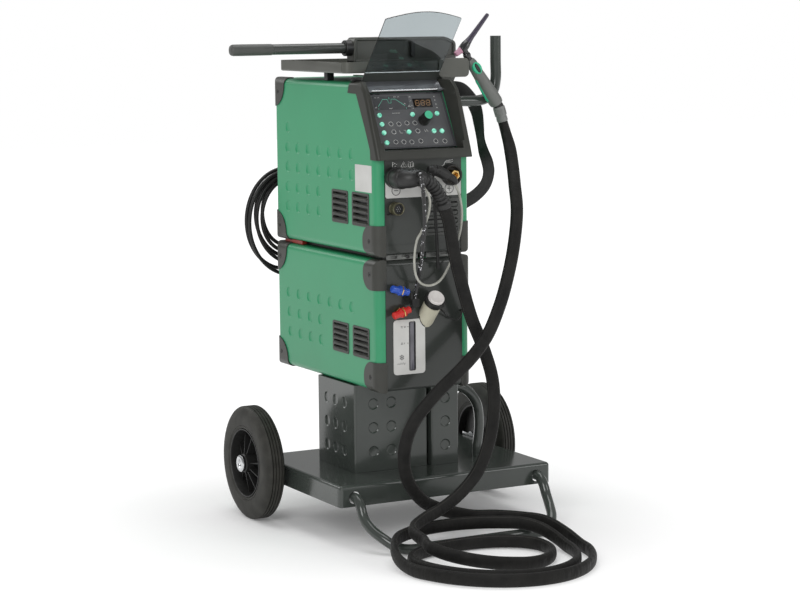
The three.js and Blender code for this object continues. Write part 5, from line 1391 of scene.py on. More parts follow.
combine(plus_nut,
        spun("bore", [(0, 0.008), (0.0076, 0.008), (0.0076, 0.030), (0, 0.030)], plus_foot, FORWARD, 32))
soften(plus_nut, 0.0005, 2)
plus_nut.data.materials.append(brass)


def on_socket_plate(x, z):
    return at(x / 1000, FACE_Y - 0.0013, z / 1000)


socket_marks = marks("socket_marks", [
    circle(-75.5, 858, 11.2, steps=40), circle(71, 857, 11.6, steps=40), [(-81, 858), (-70, 858)],
    [(65.5, 857), (76.5, 857)], [(71, 851.5), (71, 862.5)]], on_socket_plate, ink_black, 0.0008)
for piece, slot in ((socket_plate, "pale_plate"), (minus_ring, "black_plastic"), (plus_ring, "black_plastic"),
                    (plus_nut, "steel"), (socket_marks, "black_plastic")):
    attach(piece, "machine")
    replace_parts(piece, "socket_plate")

# ---------------------------------------------------------------- torch plug
# The plug of the torch: a grooved barrel out of the left socket, an elbow to the boot, and two short sleeves.
plug_y = FACE_Y - 0.0002 - 0.009 - 0.0002
barrel_foot = at(-0.082, plug_y, 0.890)
plug_barrel = spun("plug_barrel", [
    (0, 0), (0.0256, 0), (0.0264, 0.0008), (0.0264, 0.0104), (0.0256, 0.0116), (0.0236, 0.0122),
    (0.0236, 0.0140),
    (0.0252, 0.0150), (0.0256, 0.0360), (0.0248, 0.0410), (0.0226, 0.0460), (0.0180, 0.0490), (0, 0.0490)],
    barrel_foot, FORWARD, 56)
soften(plug_barrel, 0)
elbow_path, _ = route([at(*p) for p in (
    (-0.082, plug_y - 0.022, 0.890), (-0.080, plug_y - 0.040, 0.890), (-0.070, plug_y - 0.0545, 0.890),
    (-0.055, -0.383, 0.892), (-0.046, -0.384, 0.890), (-0.0386, -0.384, 0.8872))], 0.0015)


def elbow_shape(i):
    share = i / (len(elbow_path) - 1)
    radius = 0.0240 - 0.0054 * share ** 1.6
    if i > len(elbow_path) - 3:
        radius -= 0.0012
    return [(radius * math.cos(a * math.pi / 18), radius * math.sin(a * math.pi / 18)) for a in range(36)]


plug_elbow = ringed("plug_elbow", elbow_path,
                    sections(elbow_path, elbow_shape, lambda p, way: way.orthogonal()))
sleeves = []
for name, start, end, radius in (
    ("gas_sleeve", (-0.055, -0.383, 0.900), (-0.0625, -0.4085, 0.9035), 0.0072),
    ("lead_sleeve", (-0.055, -0.383, 0.892), (-0.052, -0.4095, 0.8705), 0.0068),
):
    foot, tip = at(*start), at(*end)
    far = (tip - foot).length
    sleeves.append(spun(name, [
        (0, 0), (radius, 0), (radius, far * 0.66), (radius * 0.86, far * 0.70), (radius * 0.86, far * 0.76),
        (radius, far * 0.80), (radius, far - 0.001), (radius * 0.9, far - 0.0002),
        (radius * 0.60, far - 0.0002),
        (0, far - 0.0002)], foot, tip - foot, 28))
stub_foot = at(-0.060, -0.379, 0.904)
stub = spun("plug_stub",
            [(0, -0.012), (0.0088, -0.012), (0.0092, 0.006), (0.0084, 0.0088), (0.0064, 0.0100), (0, 0.0102)],
            stub_foot, Vector((0.25, -0.55, 0.6)), 32)
for piece in (plug_barrel, plug_elbow, stub, *sleeves):
    piece.data.materials.append(boot_rubber if piece in (plug_elbow, stub) else black_plastic)
    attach(piece, "machine")
    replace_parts(piece, "torch_plug")

# ---------------------------------------------------------------- gas line
# A thin pale tube hangs from the plug in a loop and ends at a black quick coupling beside the right socket.
# A short black lead hangs behind it.
tube_pale = finish("tube_pale", (0.30, 0.30, 0.26), (0.40, 0.40, 0.36), (0.26, 0.38), 50, 1200, 0.06)
gas_tube = tube("gas_tube", [
    (-0.0524, -0.4060, 0.8740), (-0.0490, -0.4115, 0.8660), (-0.0400, -0.4110, 0.8520),
    (-0.0340, -0.4070, 0.8350),
    (-0.0340, -0.4010, 0.8100), (-0.0390, -0.3950, 0.7870), (-0.0480, -0.3880, 0.7620),
    (-0.057, -0.384, 0.744), (-0.059, -0.373, 0.690), (-0.049, -0.364, 0.654), (-0.034, -0.360, 0.636),
    (-0.005, -0.352, 0.628), (0.027, -0.344, 0.637), (0.054, -0.338, 0.668), (0.073, -0.332, 0.704),
    (0.091, -0.332, 0.752), (0.095, -0.334, 0.800), (0.086, -0.340, 0.838), (0.0701, -0.3542, 0.8595),
    (0.066, -0.352, 0.869)], 0.003, tube_pale, 0.003)
coupler_line = [at(-0.006, -0.348, 0.908), at(0.0138, -0.348, 0.906), at(0.0475, -0.350, 0.8903),
                at(0.066, -0.352, 0.879),
                at(0.066, -0.352, 0.868)]
coupler_parts = []
for number, (a, b, profile) in enumerate((
    (0, 1,
     [(0, 0), (0.0070, 0), (0.0080, 0.0010), (0.0096, 0.0090), (0.0118, 0.0120), (0.0120, 0.0195),
      (0, 0.0199)]),
    (1, 2, [(0, 0), (0.0120, 0), (0.0132, 0.0015), (0.0134, 0.0080), (0.0126, 0.0090), (0.0126, 0.0110),
            (0.0134, 0.0120), (0.0134, 0.0330), (0.0118, 0.0365), (0, 0.0372)]),
    (2, 3, [(0, 0), (0.0110, 0), (0.0110, 0.0030), (0.0102, 0.0040), (0.0108, 0.0060), (0.0100, 0.0075),
            (0.0104, 0.0100), (0.0090, 0.0200), (0.0078, 0.0216), (0, 0.0216)]),
    (3, 4, [(0, -0.004), (0.0070, -0.004), (0.0068, 0.0050), (0.0050, 0.0104), (0, 0.0108)])), 1):
    part = spun(f"gas_coupler_{number}", profile, coupler_line[a], coupler_line[b] - coupler_line[a], 36)
    part.data.materials.append(black_plastic)
    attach(part, "machine")
    coupler_parts.append(part)
hanging_lead = tube("hanging_lead", [
    (0.012, -0.344, 0.902), (0.012, -0.338, 0.880), (0.018, -0.336, 0.850), (0.021, -0.334, 0.800),
    (0.025, -0.334, 0.736), (0.028, -0.334, 0.664)], 0.004, cable_rubber, 0.004)
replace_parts(gas_tube, "gas_line")
for part in coupler_parts:
    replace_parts(part, "gas_line")
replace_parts(hanging_lead, "gas_line")

# ---------------------------------------------------------------- water and control leads
# A black lead with white printed dashes drops from the plug to a splitter,
# and two hoses go on to the couplings.
printed, nodes, links, shader = new_material("printed_lead")
place = nodes.new("ShaderNodeTexCoord")
cells = new_node(nodes, "TexVoronoi", Scale=230)
links.new(place.outputs["Object"], cells.inputs["Vector"])
dots = nodes.new("ShaderNodeMath")
dots.operation = "LESS_THAN"
dots.inputs[1].default_value = 0.34
links.new(cells.outputs["Distance"], dots.inputs[0])
groups = new_node(nodes, "TexNoise", Scale=85)
links.new(place.outputs["Object"], groups.inputs["Vector"])
grouped = nodes.new("ShaderNodeMath")
grouped.operation = "GREATER_THAN"
grouped.inputs[1].default_value = 0.54
links.new(groups.outputs["Fac"], grouped.inputs[0])
both = nodes.new("ShaderNodeMath")
both.operation = "MULTIPLY"
links.new(dots.outputs[0], both.inputs[0])
links.new(grouped.outputs[0], both.inputs[1])
print_mix = nodes.new("ShaderNodeMix")
print_mix.data_type = "RGBA"
print_mix.inputs[6].default_value = (0.012, 0.012, 0.012, 1)
print_mix.inputs[7].default_value = (0.75, 0.75, 0.78, 1)
links.new(both.outputs[0], print_mix.inputs["Factor"])
links.new(print_mix.outputs[2], shader.inputs["Base Color"])
shader.inputs["Roughness"].default_value = 0.32
bundle = tube("lead_bundle", [
    (-0.0612, -0.4040, 0.9030), (-0.0640, -0.4115, 0.9045), (-0.0652, -0.4190, 0.8990),
    (-0.0640, -0.4225, 0.8830),
    (-0.0600, -0.4220, 0.8600), (-0.0560, -0.4180, 0.8250), (-0.0520, -0.4120, 0.7870),
    (-0.0480, -0.3950, 0.7270),
    (-0.0380, -0.3620, 0.6700), (-0.0340, -0.3450, 0.6400), (-0.0350, -0.3370, 0.6120),
    (-0.037, -0.336, 0.596)],
    0.005, printed, 0.004)
lead_blue = tube("lead_blue", [
    (-0.0542, -0.3356, 0.6125), (-0.0485, -0.3358, 0.6110), (-0.046, -0.336, 0.604), (-0.045, -0.336, 0.595),
    (-0.037, -0.336, 0.588)], 0.004, cable_rubber, 0.002)
lead_red = tube("lead_red", [
    (-0.0505, -0.3356, 0.5717), (-0.0450, -0.3358, 0.5735), (-0.046, -0.336, 0.580), (-0.044, -0.336, 0.583),
    (-0.037, -0.336, 0.588)], 0.004, cable_rubber, 0.002)
splitter = pressed_plate("lead_splitter", 1, (-0.048, -0.343, 0.576), (-0.028, -0.329, 0.598), 0.005)
soften(splitter, 0.0022, 3)
splitter.data.materials.append(cable_rubber)
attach(splitter, "machine")
for piece in (bundle, lead_blue, lead_red, splitter):
    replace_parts(piece, "torch_leads")

# ---------------------------------------------------------------- bezel
# A thick olive moulding frames the sloping control panel: two cheeks, a bar behind the flap and a lip below.
bezel_side = ((-0.174, 1.089), (-0.1855, 1.117), (-0.240, 1.117), (-0.262, 1.096), (-0.276, 1.070),
              (-0.2985, 1.014), (-0.3205, 0.960), (-0.3290, 0.936), (-0.3285, 0.932), (-0.291, 0.932),
              (-0.289, 0.956), (-0.262, 1.010), (-0.219, 1.088))
BEZEL_HALF = 0.132
bezel = profile_solid("bezel_moulding", [at(-BEZEL_HALF, y, z) for y, z in bezel_side],
                      Vector((2 * BEZEL_HALF, 0, 0)))
front_line = [at(0, y, z) for y, z in bezel_side[1:9]]


def on_outline(corners):
    """Edges of the two cheeks' outer faces that run along the front of the outline."""
    a, b = corners
    if abs(a.x - b.x) > 1e-6 or abs(abs(a.x - at(0, 0, 0).x) - BEZEL_HALF) > 1e-5:
        return False
    return all(any(abs(v.y - q.y) < 1e-5 and abs(v.z - q.z) < 1e-5 for q in front_line) for v in corners)


pick(bezel, "edges", on_outline)
bpy.ops.mesh.bevel(offset=0.0100, segments=7)
object_mode()
pocket = profile_solid("pocket", [at(-0.108, y, z) for y, z in (
    (-0.160, 1.0883), (-0.212, 1.0883), (-0.211, 1.0968), (-0.1922, 1.1114), (-0.1865, 1.1158),
    (-0.190, 1.130),
    (-0.375, 1.130), (-0.360, 0.9542), (-0.280, 0.9542), (-0.280, 0.960), (-0.160, 1.080))],
    Vector((0.216, 0, 0)))
combine(bezel, pocket)
# the cheeks' inner faces flare towards the front
PANEL_MID = at(0, -0.254, 1.0205)
PANEL_TILT = math.radians(60.45)
panel_x = Vector((1, 0, 0))
panel_y = Vector((0, math.cos(PANEL_TILT), math.sin(PANEL_TILT)))
panel_out = Vector((0, -math.sin(PANEL_TILT), math.cos(PANEL_TILT)))


def on_panel(x, y, out=0.0):
    """A point over the panel's face, from its middle, in millimetres."""
    return PANEL_MID + (panel_x * x + panel_y * y + panel_out * out) / 1000


combine(bezel,
        profile_solid("flare",
                      [on_panel(x, -72, out) for x, out in ((-108, 1), (-122, 61), (122, 61), (108, 1))],
                             panel_y * 0.190))
combine(bezel,
        spun("bore", [(0, -0.1232), (0.0028, -0.1232), (0.0028, 0.1232), (0, 0.1232)], at(0, -0.222, 1.094),
                    Vector((1, 0, 0)), 20))
soften(bezel, 0.0014, 3, 34)
bezel_olive = finish("bezel_olive", (0.030, 0.031, 0.027), (0.038, 0.039, 0.034), (0.32, 0.42), 16, 1500,
                     0.14, spec=0.22)
bezel.data.materials.append(bezel_olive)
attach(bezel, "machine")
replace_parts(bezel, "bezel")

# ---------------------------------------------------------------- control panel
# A grey keyboard film on a flat plate, tipped to face the user, with a welding curve, a three figure display,
# mint keys with a painted glow, grey keys with white signs, and one large knob.
def tipped(piece):
    """Tips a piece that was made flat round the panel's middle."""
    turn = Matrix.Translation(PANEL_MID) @ Matrix.Rotation(PANEL_TILT, 4,
                                                           "X") @ Matrix.Translation(-PANEL_MID)
    piece.matrix_world = turn
    select_only(piece)
    bpy.ops.object.transform_apply(location=True, rotation=True, scale=True)
    return piece


def flat(name, x0, x1, y0, y1, low, high, radius=0.0, segments=5):
    """A plate made flat over the panel's middle, in millimetres, with rounded corners."""
    corner = [Vector((x0, y0 - 254, low + 1020.5)) / 1000, Vector((x1, y1 - 254, high + 1020.5)) / 1000]
    if radius:
        return pressed_plate(name, 2, corner[0], corner[1], radius / 1000, segments)
    return block(name, corner[0], corner[1])


film_grey = finish("film_grey", (0.072, 0.074, 0.078), (0.092, 0.094, 0.098), (0.24, 0.34), 14, 900, 0.03)
film_dark = finish("film_dark", (0.050, 0.052, 0.056), (0.060, 0.062, 0.066), (0.20, 0.30), 14, 900, 0.02)
window_brown = finish("window_brown", (0.045, 0.034, 0.026), (0.060, 0.046, 0.036), (0.10, 0.18), 60, 900,
                      0.01)
amber = finish("amber", (0.26, 0.15, 0.07), (0.34, 0.20, 0.10), (0.3, 0.4), 90, 900, 0.02)
mint_line = finish("mint_line", (0.10, 0.42, 0.30), (0.14, 0.50, 0.36), (0.3, 0.4), 90, 900, 0.02)
keys_at = ((-82, 17.3), (8.6, 16.8), (77, 17.2), (-81.8, -7.1), (-82.5, -30), (-14, -30), (55.3, -29.9),
           (77.4, -30.8),
           (-81.7, -56.9))
grey_keys_at = ((-57.1, -6.7), (-35.3, -7.5), (-12.8, -5.6), (9.1, -6.4), (-54.8, -28.4), (11.3, -28.2),
                (-56.7, -55.3),
                (-35, -56.2), (-13.3, -57.1), (12, -55.4), (53.2, -57.1), (78, -58.1))
panel_plate = flat("panel_plate", -107.7, 107.7, -73, 77, -6, -0.35, 1.5, 3)
panel_film = flat("panel_film", -101.0, 101.0, -69, 71.5, -1.0, 0, 3)
for x, y in keys_at:
    for piece in (panel_plate, panel_film):
        well = spun("well", [(0, -0.0047), (0.0065, -0.0047), (0.0065, 0.002), (0, 0.002)],
                    Vector((x, y - 254, 1020.5)) / 1000 + at(0, 0, 0), Vector((0, 0, 1)), 28)
        combine(piece, well)
combine(panel_film, flat("opening", 19, 72, 35, 60, -0.75, 2, 2))
for x0, x1 in ((-95, -83), (-78, -66), (63, 74), (81, 92)):
    combine(panel_plate, flat("slot", x0, x1, 73.2, 75.6, -4, 2, 1.0, 3))
for piece, paint in ((panel_plate, film_dark), (panel_film, film_grey)):
    soften(piece, 0)
    tipped(piece)
    piece.data.materials.append(paint)
display = tipped(flat("display_window", 19.4, 71.6, 35.4, 59.6, -0.9, -0.35, 1.8))
display.data.materials.append(window_brown)
curve_field = tipped(flat("curve_field", -90, 9, 31, 68.5, -0.6, 0.06, 2))
curve_field.data.materials.append(film_dark)


def plane_at(height):
    return lambda x, y: on_panel(x, y, height)


figures = []
for digit in range(3):
    x0 = 25.5 + digit * 15.2
    corner = {"a": (x0, 41), "b": (x0, 47.5), "c": (x0 + 1.2, 54.5), "d": (x0 + 9.5, 41),
              "e": (x0 + 10, 47.5),
              "f": (x0 + 10.8, 54.5)}
    for a, b in ("ab", "bc", "de", "ef", "ad", "be", "cf"):
        (ax, ay), (bx, by) = corner[a], corner[b]
        figures.append([(ax + (bx - ax) * 0.12, ay + (by - ay) * 0.12),
                        (bx - (bx - ax) * 0.12, by - (by - ay) * 0.12)])
display_figures = marks("display_figures", figures, plane_at(-0.32), amber, 0.00085)
welding_curve = marks("welding_curve", [
    [(-79, 41), (-62, 60), (-50, 60), (-47, 49.5), (-41, 49.5), (-39, 60), (-27, 60), (-5, 41)],
    [(-44, 60), (-44, 65.5)], [(-79, 36), (-79, 33)], [(-3, 36), (-3, 33)]], plane_at(0.0), mint_line,
    0.00065)
signs = [
    [(-84, 65), (-78, 65)], [(-75, 65), (-70, 65)], [(-31, 66), (-24, 66)], [(-20, 66), (-15, 66)],
    [(-88, 37), (-84, 42), (-84, 37)], [(-50, 36.5), (-48, 34.5), (-43, 34.5), (-41, 36.5)],
    [(3, 39), (7, 43), (9, 38), (3, 39)], [(-8, 45), (-5, 48), (-2, 45)],
    [(12, 64), (14, 67)], [(14, 63), (16, 66)], [(12, 53), (15, 55)], [(12, 40), (15, 42)],
    [(14, 33), (17, 34)],
    [(-46, 22), (-42, 22)], [(-40.5, 22), (-37.5, 22)], [(-36, 22), (-31, 22)], [(-29.5, 22), (-25, 22)],
]
signs += [circle(81.8, y, 1.0, steps=10) for y in (63.9, 54.2, 43.2, 33.5)]
signs += [circle(x, y, 5.6, steps=22) for x, y in grey_keys_at]
for number, (x, y) in enumerate(grey_keys_at):
    small = [
        [[(-2.6, 1.5), (-0.5, -1.5), (1, 1), (2.8, -1)]], [circle(0, 0, 2.4, steps=12)],
        [[(-2.6, -1.8), (-0.5, 1.8), (2.6, 1.8)]],
        [[(-2.6, 0), (2.6, 0)], [(0.8, 1.8), (2.6, 0), (0.8, -1.8)]],
        [[(-2, -2), (-2, 2), (2, 2)]], [circle(0, 0, 2.2, 30, 300, 12)], [[(-2.4, -2), (0, 2.2), (2.4, -2)]],
        [[(-2, -2.4), (-2, 2.4), (2, 0), (-2, -2.4)]],
        [[(-2.4, 1.6), (2.4, 1.6)], [(-2.4, -1.6), (2.4, -1.6)]],
        [[(-2.2, -2.2), (2.2, 2.2)], [(-2.2, 2.2), (2.2, -2.2)]],
        [[(-2.4, -1.4), (2.4, -1.4), (2.4, 1.8), (-2.4, 1.8)]],
        [[(0, -2.6), (0, 2.6)], [(-1.8, 0.8), (0, 2.6), (1.8, 0.8)]],
    ][number]
    signs += [[(x + a, y + b) for a, b in line] for line in small]
signs += [[(-38, -25), (-38, -32), (-31, -32)], [(-27, -25), (-22, -25), (-22, -33)],
          [(30, -25), (33, -31), (36, -25), (39, -31)]]
panel_signs = marks("panel_signs", signs, plane_at(0.0), white_print, 0.00042)
for piece, slot in ((panel_plate, "panel_grey"), (panel_film, "panel_grey"), (display, "smoked_plastic"),
                    (curve_field, "panel_grey"), (display_figures, "pale_plate"),
                    (welding_curve, "green_plastic"),
                    (panel_signs, "white_plastic")):
    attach(piece, "machine")
    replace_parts(piece, "control_panel")
# grey keys under the film: low domes with a bright print
for number, (x, y) in enumerate(grey_keys_at, 1):
    dome = spun(f"grey_key_{number}",
                [(0, -0.0003), (0.0053, -0.0003), (0.0051, 0.0004), (0.0040, 0.0007), (0, 0.0008)],
                on_panel(x, y, -0.15), panel_out, 28)
    dome.data.materials.append(film_dark)
    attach(dome, "machine")

# ---------------------------------------------------------------- keys with a painted glow
# Nine round mint keys stand out of the panel, their mint varying a little at random, with a painted glow:
# they emit their own colour so that they read brightly lit.
mint_painted_glow, nodes, links, shader = new_material("mint_painted_glow")
place = nodes.new("ShaderNodeTexCoord")
haze = new_node(nodes, "TexNoise", Scale=160, Detail=4)
links.new(place.outputs["Object"], haze.inputs["Vector"])
tint = new_ramp(nodes, (0.35, (0.10, 0.50, 0.34, 1)), (0.62, (0.34, 0.80, 0.62, 1)))
links.new(haze.outputs["Fac"], tint.inputs["Fac"])
links.new(tint.outputs["Color"], shader.inputs["Base Color"])
links.new(tint.outputs["Color"], shader.inputs["Emission Color"])
# painted glow: the keys emit their own mint colour, standing in for light on them
shader.inputs["Emission Strength"].default_value = 0.30
shader.inputs["Roughness"].default_value = 0.3
for number, (x, y) in enumerate(keys_at, 1):
    key = spun(f"key_{number}_cap", [
        (0, -0.0022), (0.0060, -0.0022), (0.0060, 0.0018), (0.0056, 0.0026), (0.0046, 0.0030),
        (0.0034, 0.0028),
        (0.0030, 0.0025), (0, 0.0024)], on_panel(x, y), panel_out, 32)
    soften(key, 0)
    key.data.materials.append(mint_painted_glow)
    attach(key, f"key_{number}")
    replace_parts(key, f"button_{number}")

# ---------------------------------------------------------------- knob
# A tall black knob, ribbed round its skirt, with a mint disc set in its top.
mint_cap = finish("mint_cap", (0.055, 0.42, 0.235), (0.075, 0.50, 0.29), (0.28, 0.38), 50, 900, 0.03)
knob_foot = on_panel(34, -1, 0.4)
knob_grip = spun("knob_grip", [
    (0, 0), (0.0140, 0), (0.0140, 0.0034), (0.0132, 0.0046), (0.0126, 0.0056), (0.0122, 0.0290),
    (0.0116, 0.0304),
    (0, 0.0304)], knob_foot, panel_out, 72)
pick(knob_grip, "faces", lambda f: outward(f, knob_foot, panel_out, 0.0116)
     and (f.center - knob_foot).dot(panel_out) > 0.008 and f.index % 3 == 0)
bpy.ops.mesh.inset(thickness=0.0001, depth=-0.0005, use_individual=True)
object_mode()
soften(knob_grip, 0)
knob_grip.data.materials.append(black_plastic)
knob_disc = spun("knob_disc", [
    (0, 0.0300), (0.0106, 0.0300), (0.0106, 0.0318), (0.0100, 0.0326), (0.0090, 0.0328), (0.0078, 0.0324),
    (0, 0.0324)],
    knob_foot, panel_out, 48)
soften(knob_disc, 0)
knob_disc.data.materials.append(mint_cap)
for piece, slot in ((knob_grip, "black_plastic"), (knob_disc, "green_plastic")):
    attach(piece, "knob_body")
    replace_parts(piece, "knob")

# ---------------------------------------------------------------- flap
# A smoked clear sheet, 3 mm thick with a crowned upper edge, swings on a thin steel rod between the cheeks.
# Its leg is held in a bent grey strip with a barrel at each end.
smoke, nodes, links, shader = new_material("smoked_clear")
place = nodes.new("ShaderNodeTexCoord")
haze = new_node(nodes, "TexNoise", Scale=8)
links.new(place.outputs["Object"], haze.inputs["Vector"])
tint = nodes.new("ShaderNodeValToRGB")
tint.color_ramp.elements[0].color = (0.40, 0.455, 0.47, 1)
tint.color_ramp.elements[1].color = (0.45, 0.50, 0.515, 1)
links.new(haze.outputs["Fac"], tint.inputs["Fac"])
links.new(tint.outputs["Color"], shader.inputs["Base Color"])
shader.inputs["Transmission Weight"].default_value = 1.0
shader.inputs["Roughness"].default_value = 0.03
shader.inputs["IOR"].default_value = 1.40
strip_grey = finish("strip_grey", (0.095, 0.10, 0.11), (0.14, 0.147, 0.157), (0.20, 0.30), 12, 700, 0.03,
                    metal=0.4)
bend, tip = Vector((0, -0.195, 1.115)), Vector((0, -0.322, 1.266))
rise_way = (tip - bend).normalized()
sheet_out = Vector((0, -rise_way.z, rise_way.y))
long = (tip - bend).length


def on_sheet(x, along, out):
    spot = bend + rise_way * (along / 1000) + sheet_out * (out / 1000)
    return at(x / 1000, spot.y, spot.z)


side_top = long * 1000 + 2
BAND = 30
flap_band = profile_solid("flap_band", [on_sheet(x, v, -2.2) for x, v in (
    (-104, -0.5), (104, -0.5), (104, BAND), (-104, BAND))], sheet_out * 0.0044)
soften(flap_band, 0.0007, 2)
flap_band.data.materials.append(panel_grey)
crown = [(-104, BAND + 0.2), (104, BAND + 0.2), (104, side_top - 4), (103.5, side_top - 1.6), (102, side_top)]
crown += [(102 - 204 * k / 26, side_top + 20.5 * math.sin(math.pi * k / 26)) for k in range(1, 26)]
crown += [(-102, side_top), (-103.5, side_top - 1.6), (-104, side_top - 4)]
flap_sheet = profile_solid("flap_sheet", [on_sheet(x, v, -1.5) for x, v in crown], sheet_out * 0.003)
soften(flap_sheet, 0.0006, 2)
flap_sheet.data.materials.append(smoke)
leg_line = [Vector((0, -0.222, 1.094)), Vector((0, -0.195, 1.115))]
leg_way = (leg_line[1] - leg_line[0]).normalized()
leg_out = Vector((0, -leg_way.z, leg_way.y))
leg_points = []
for side, steps in ((-1, range(0, 9)), (1, range(8, -1, -1))):
    for k in steps:
        share = k / 8
        spot = (leg_line[0] + (leg_line[1] - leg_line[0]) * (0.10 + 0.93 * share)
                + leg_out * (0.0014 * side + 0.0022 * math.sin(math.pi * share)))
        leg_points.append(at(-0.1040, spot.y, spot.z))
flap_leg = profile_solid("flap_leg", leg_points, Vector((0.208, 0, 0)))
soften(flap_leg, 0.0004, 2, 50)
flap_leg.data.materials.append(strip_grey)
barrels = []
for side in (-1, 1):
    barrel = spun(f"flap_barrel_{'left' if side < 0 else 'right'}", [
        (0.0027, 0), (0.0046, 0), (0.0050, 0.0005), (0.0050, 0.0115), (0.0046, 0.0120), (0.0027, 0.0120),
        (0.0027, 0)],
        at(side * 0.0925, -0.222, 1.094), Vector((side, 0, 0)), 28)
    barrel.data.materials.append(strip_grey)
    barrels.append(barrel)
rod = spun("hinge_rod",
           [(0, -0.1228), (0.0021, -0.1228), (0.0025, -0.1224), (0.0025, 0.1224), (0.0021, 0.1228),
            (0, 0.1228)],
           at(0, -0.222, 1.094), Vector((1, 0, 0)), 24)
rod.data.materials.append(bright_metal)
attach(rod, "machine")
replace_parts(rod, "flap_rod")
bumper = spun("flap_bumper", [
    (0, -0.008), (0.0050, -0.008), (0.0068, -0.002), (0.0070, 0.004), (0.0060, 0.011), (0.0038, 0.016),
    (0, 0.018)],
    at(-0.1175, -0.2000, 1.1222), Vector((-1, 0, 0.05)), 32)
bumper.data.materials.append(cable_rubber)
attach(bumper, "machine")
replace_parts(bumper, "bezel")
for piece in (flap_sheet, flap_band, flap_leg, *barrels):
    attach(piece, "flap_body")
    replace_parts(piece, "flap")

# ---------------------------------------------------------------- tray
# A shallow steel tray on short black posts carries tools over the power source.
# At its right a bracket with a gusset comes down to the hook, and a rounded flange is folded up.
tray_grey = finish("tray_grey", (0.066, 0.068, 0.057), (0.080, 0.082, 0.070), (0.26, 0.36), 8, 1300, 0.05)
tray = block("tray_sheet", (-0.146, -0.190, 1.136), (0.195, 0.183, 1.163))
pick(tray, "edges", upright)
bpy.ops.mesh.bevel(offset=0.018, segments=8)
object_mode()
pick(tray, "faces", lambda f: f.normal.z > 0.9)
bpy.ops.mesh.inset(thickness=0.003)
bpy.ops.mesh.extrude_region_move(TRANSFORM_OT_translate={"value": (0, 0, -0.024)})
object_mode()
pick(tray, "edges", lambda c: all(v.z < at(0, 0, 1.1362).z for v in c) and not upright(c))
bpy.ops.mesh.bevel(offset=0.0035, segments=4)
object_mode()
for x in (-0.070, 0.010):
    combine(tray,
            spun("hole", [(0, 0), (0.0032, 0), (0.0032, 0.02), (0, 0.02)], at(x, -0.200, 1.154),
                 Vector((0, 1, 0)), 20))
# the folded corner stays open by a narrow slit
combine(tray, block("slit", (-0.1475, -0.1735, 1.140), (-0.1420, -0.1722, 1.170)))
soften(tray, 0.0008, 2)
tray.data.materials.append(tray_grey)
posts = []
for name, x, y in (("left", -0.112, -0.036), ("right", 0.110, -0.036), ("back", 0.100, 0.140)):
    post = block(f"tray_post_{name}", (x - 0.0095, y - 0.0095, 1.1153), (x + 0.0095, y + 0.0095, 1.1365))
    soften(post, 0.0016, 3)
    post.data.materials.append(black_plastic)
    posts.append(post)
bracket = block("hook_bracket", (0.134, -0.167, 1.040), (0.164, -0.133, 1.137))
soften(bracket, 0.0030, 4)
gusset = profile_solid("hook_gusset",
                       [at(0.163, -0.153, 1.1365), at(0.163, -0.153, 1.080), at(0.191, -0.153, 1.1365)],
                       Vector((0, 0.006, 0)))
soften(gusset, 0.0006, 2)
flange = pressed_plate("tray_flange", 1, (0.112, -0.1935, 1.121), (0.199, -0.1905, 1.168), 0.012, 8)
soften(flange, 0.0008, 2)
for piece in (bracket, gusset, flange):
    piece.data.materials.append(tray_grey)
for piece in (tray, bracket, gusset, flange, *posts):
    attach(piece, "machine")
    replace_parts(piece, "tray")

# ---------------------------------------------------------------- top box
# A long moulded box stands on the tray and holds the push bar.
# It has rounded ends, a raised rim round its sunken front, and a strap slot drawn as a black oval block whose
# black is painted shade for the opening.
box_olive = finish("box_olive", (0.052, 0.054, 0.046), (0.064, 0.066, 0.057), (0.34, 0.44), 12, 1400, 0.1)
box_floor = block("box_foot", (-0.074, -0.100, 1.1393), (0.1916, -0.060, 1.166))
box_body = profile_solid("box_body", [at(x, -0.100, z) for x, z in (
    (-0.074, 1.150), (0.1916, 1.150), (0.1916, 1.1655), (0.215, 1.1655), (0.215, 1.207), (0.185, 1.221),
    (-0.074, 1.221))],
    Vector((0, 0.040, 0)))
box_left = at(-0.074, 0, 0).x


def across(corners):
    """Edges that run from the front of the box to its back."""
    a, b = corners
    return abs(a.x - b.x) < 1e-6 and abs(a.z - b.z) < 1e-6


pick(box_body, "edges", lambda c: across(c) and c[0].x < box_left + 1e-4)
bpy.ops.mesh.bevel(offset=0.011, segments=8)
object_mode()
pick(box_body, "edges", lambda c: across(c) and c[0].x > at(0.18, 0, 0).x and c[0].z > at(0, 0, 1.17).z)
bpy.ops.mesh.bevel(offset=0.008, segments=6)
object_mode()
pick(box_body, "faces", lambda f: f.normal.y < -0.95)
bpy.ops.mesh.inset(thickness=0.0075)
bpy.ops.mesh.extrude_region_move(TRANSFORM_OT_translate={"value": (0, 0.005, 0)})
object_mode()
soften(box_body, 0.0016, 3, 40)
soften(box_floor, 0.0020, 3)
for piece in (box_body, box_floor):
    piece.data.materials.append(box_olive)
# the strap slot: a black oval block, its black a painted shade standing for the opening
slot_shade_block = pressed_plate("strap_slot_shade", 1, (0.084, -0.1035, 1.171), (0.096, -0.0945, 1.213), 0.0058, 8)
soften(slot_shade_block, 0.0014, 3)
slot_shade_block.data.materials.append(black_and_painted_slot_shade)
box_seam = spun("bar_socket", [
    (0.0136, -0.006), (0.0190, -0.006), (0.0196, 0.000), (0.0196, 0.016), (0.0184, 0.0175), (0.0136, 0.0175),
    (0.0136, -0.006)],
    at(-0.0745, -0.080, 1.195), Vector((-1, 0, 0)), 44)
soften(box_seam, 0)
box_seam.data.materials.append(black_and_painted_slot_shade)
for piece in (box_body, box_floor, slot_shade_block, box_seam):
    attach(piece, "machine")
    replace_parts(piece, "holder_box")

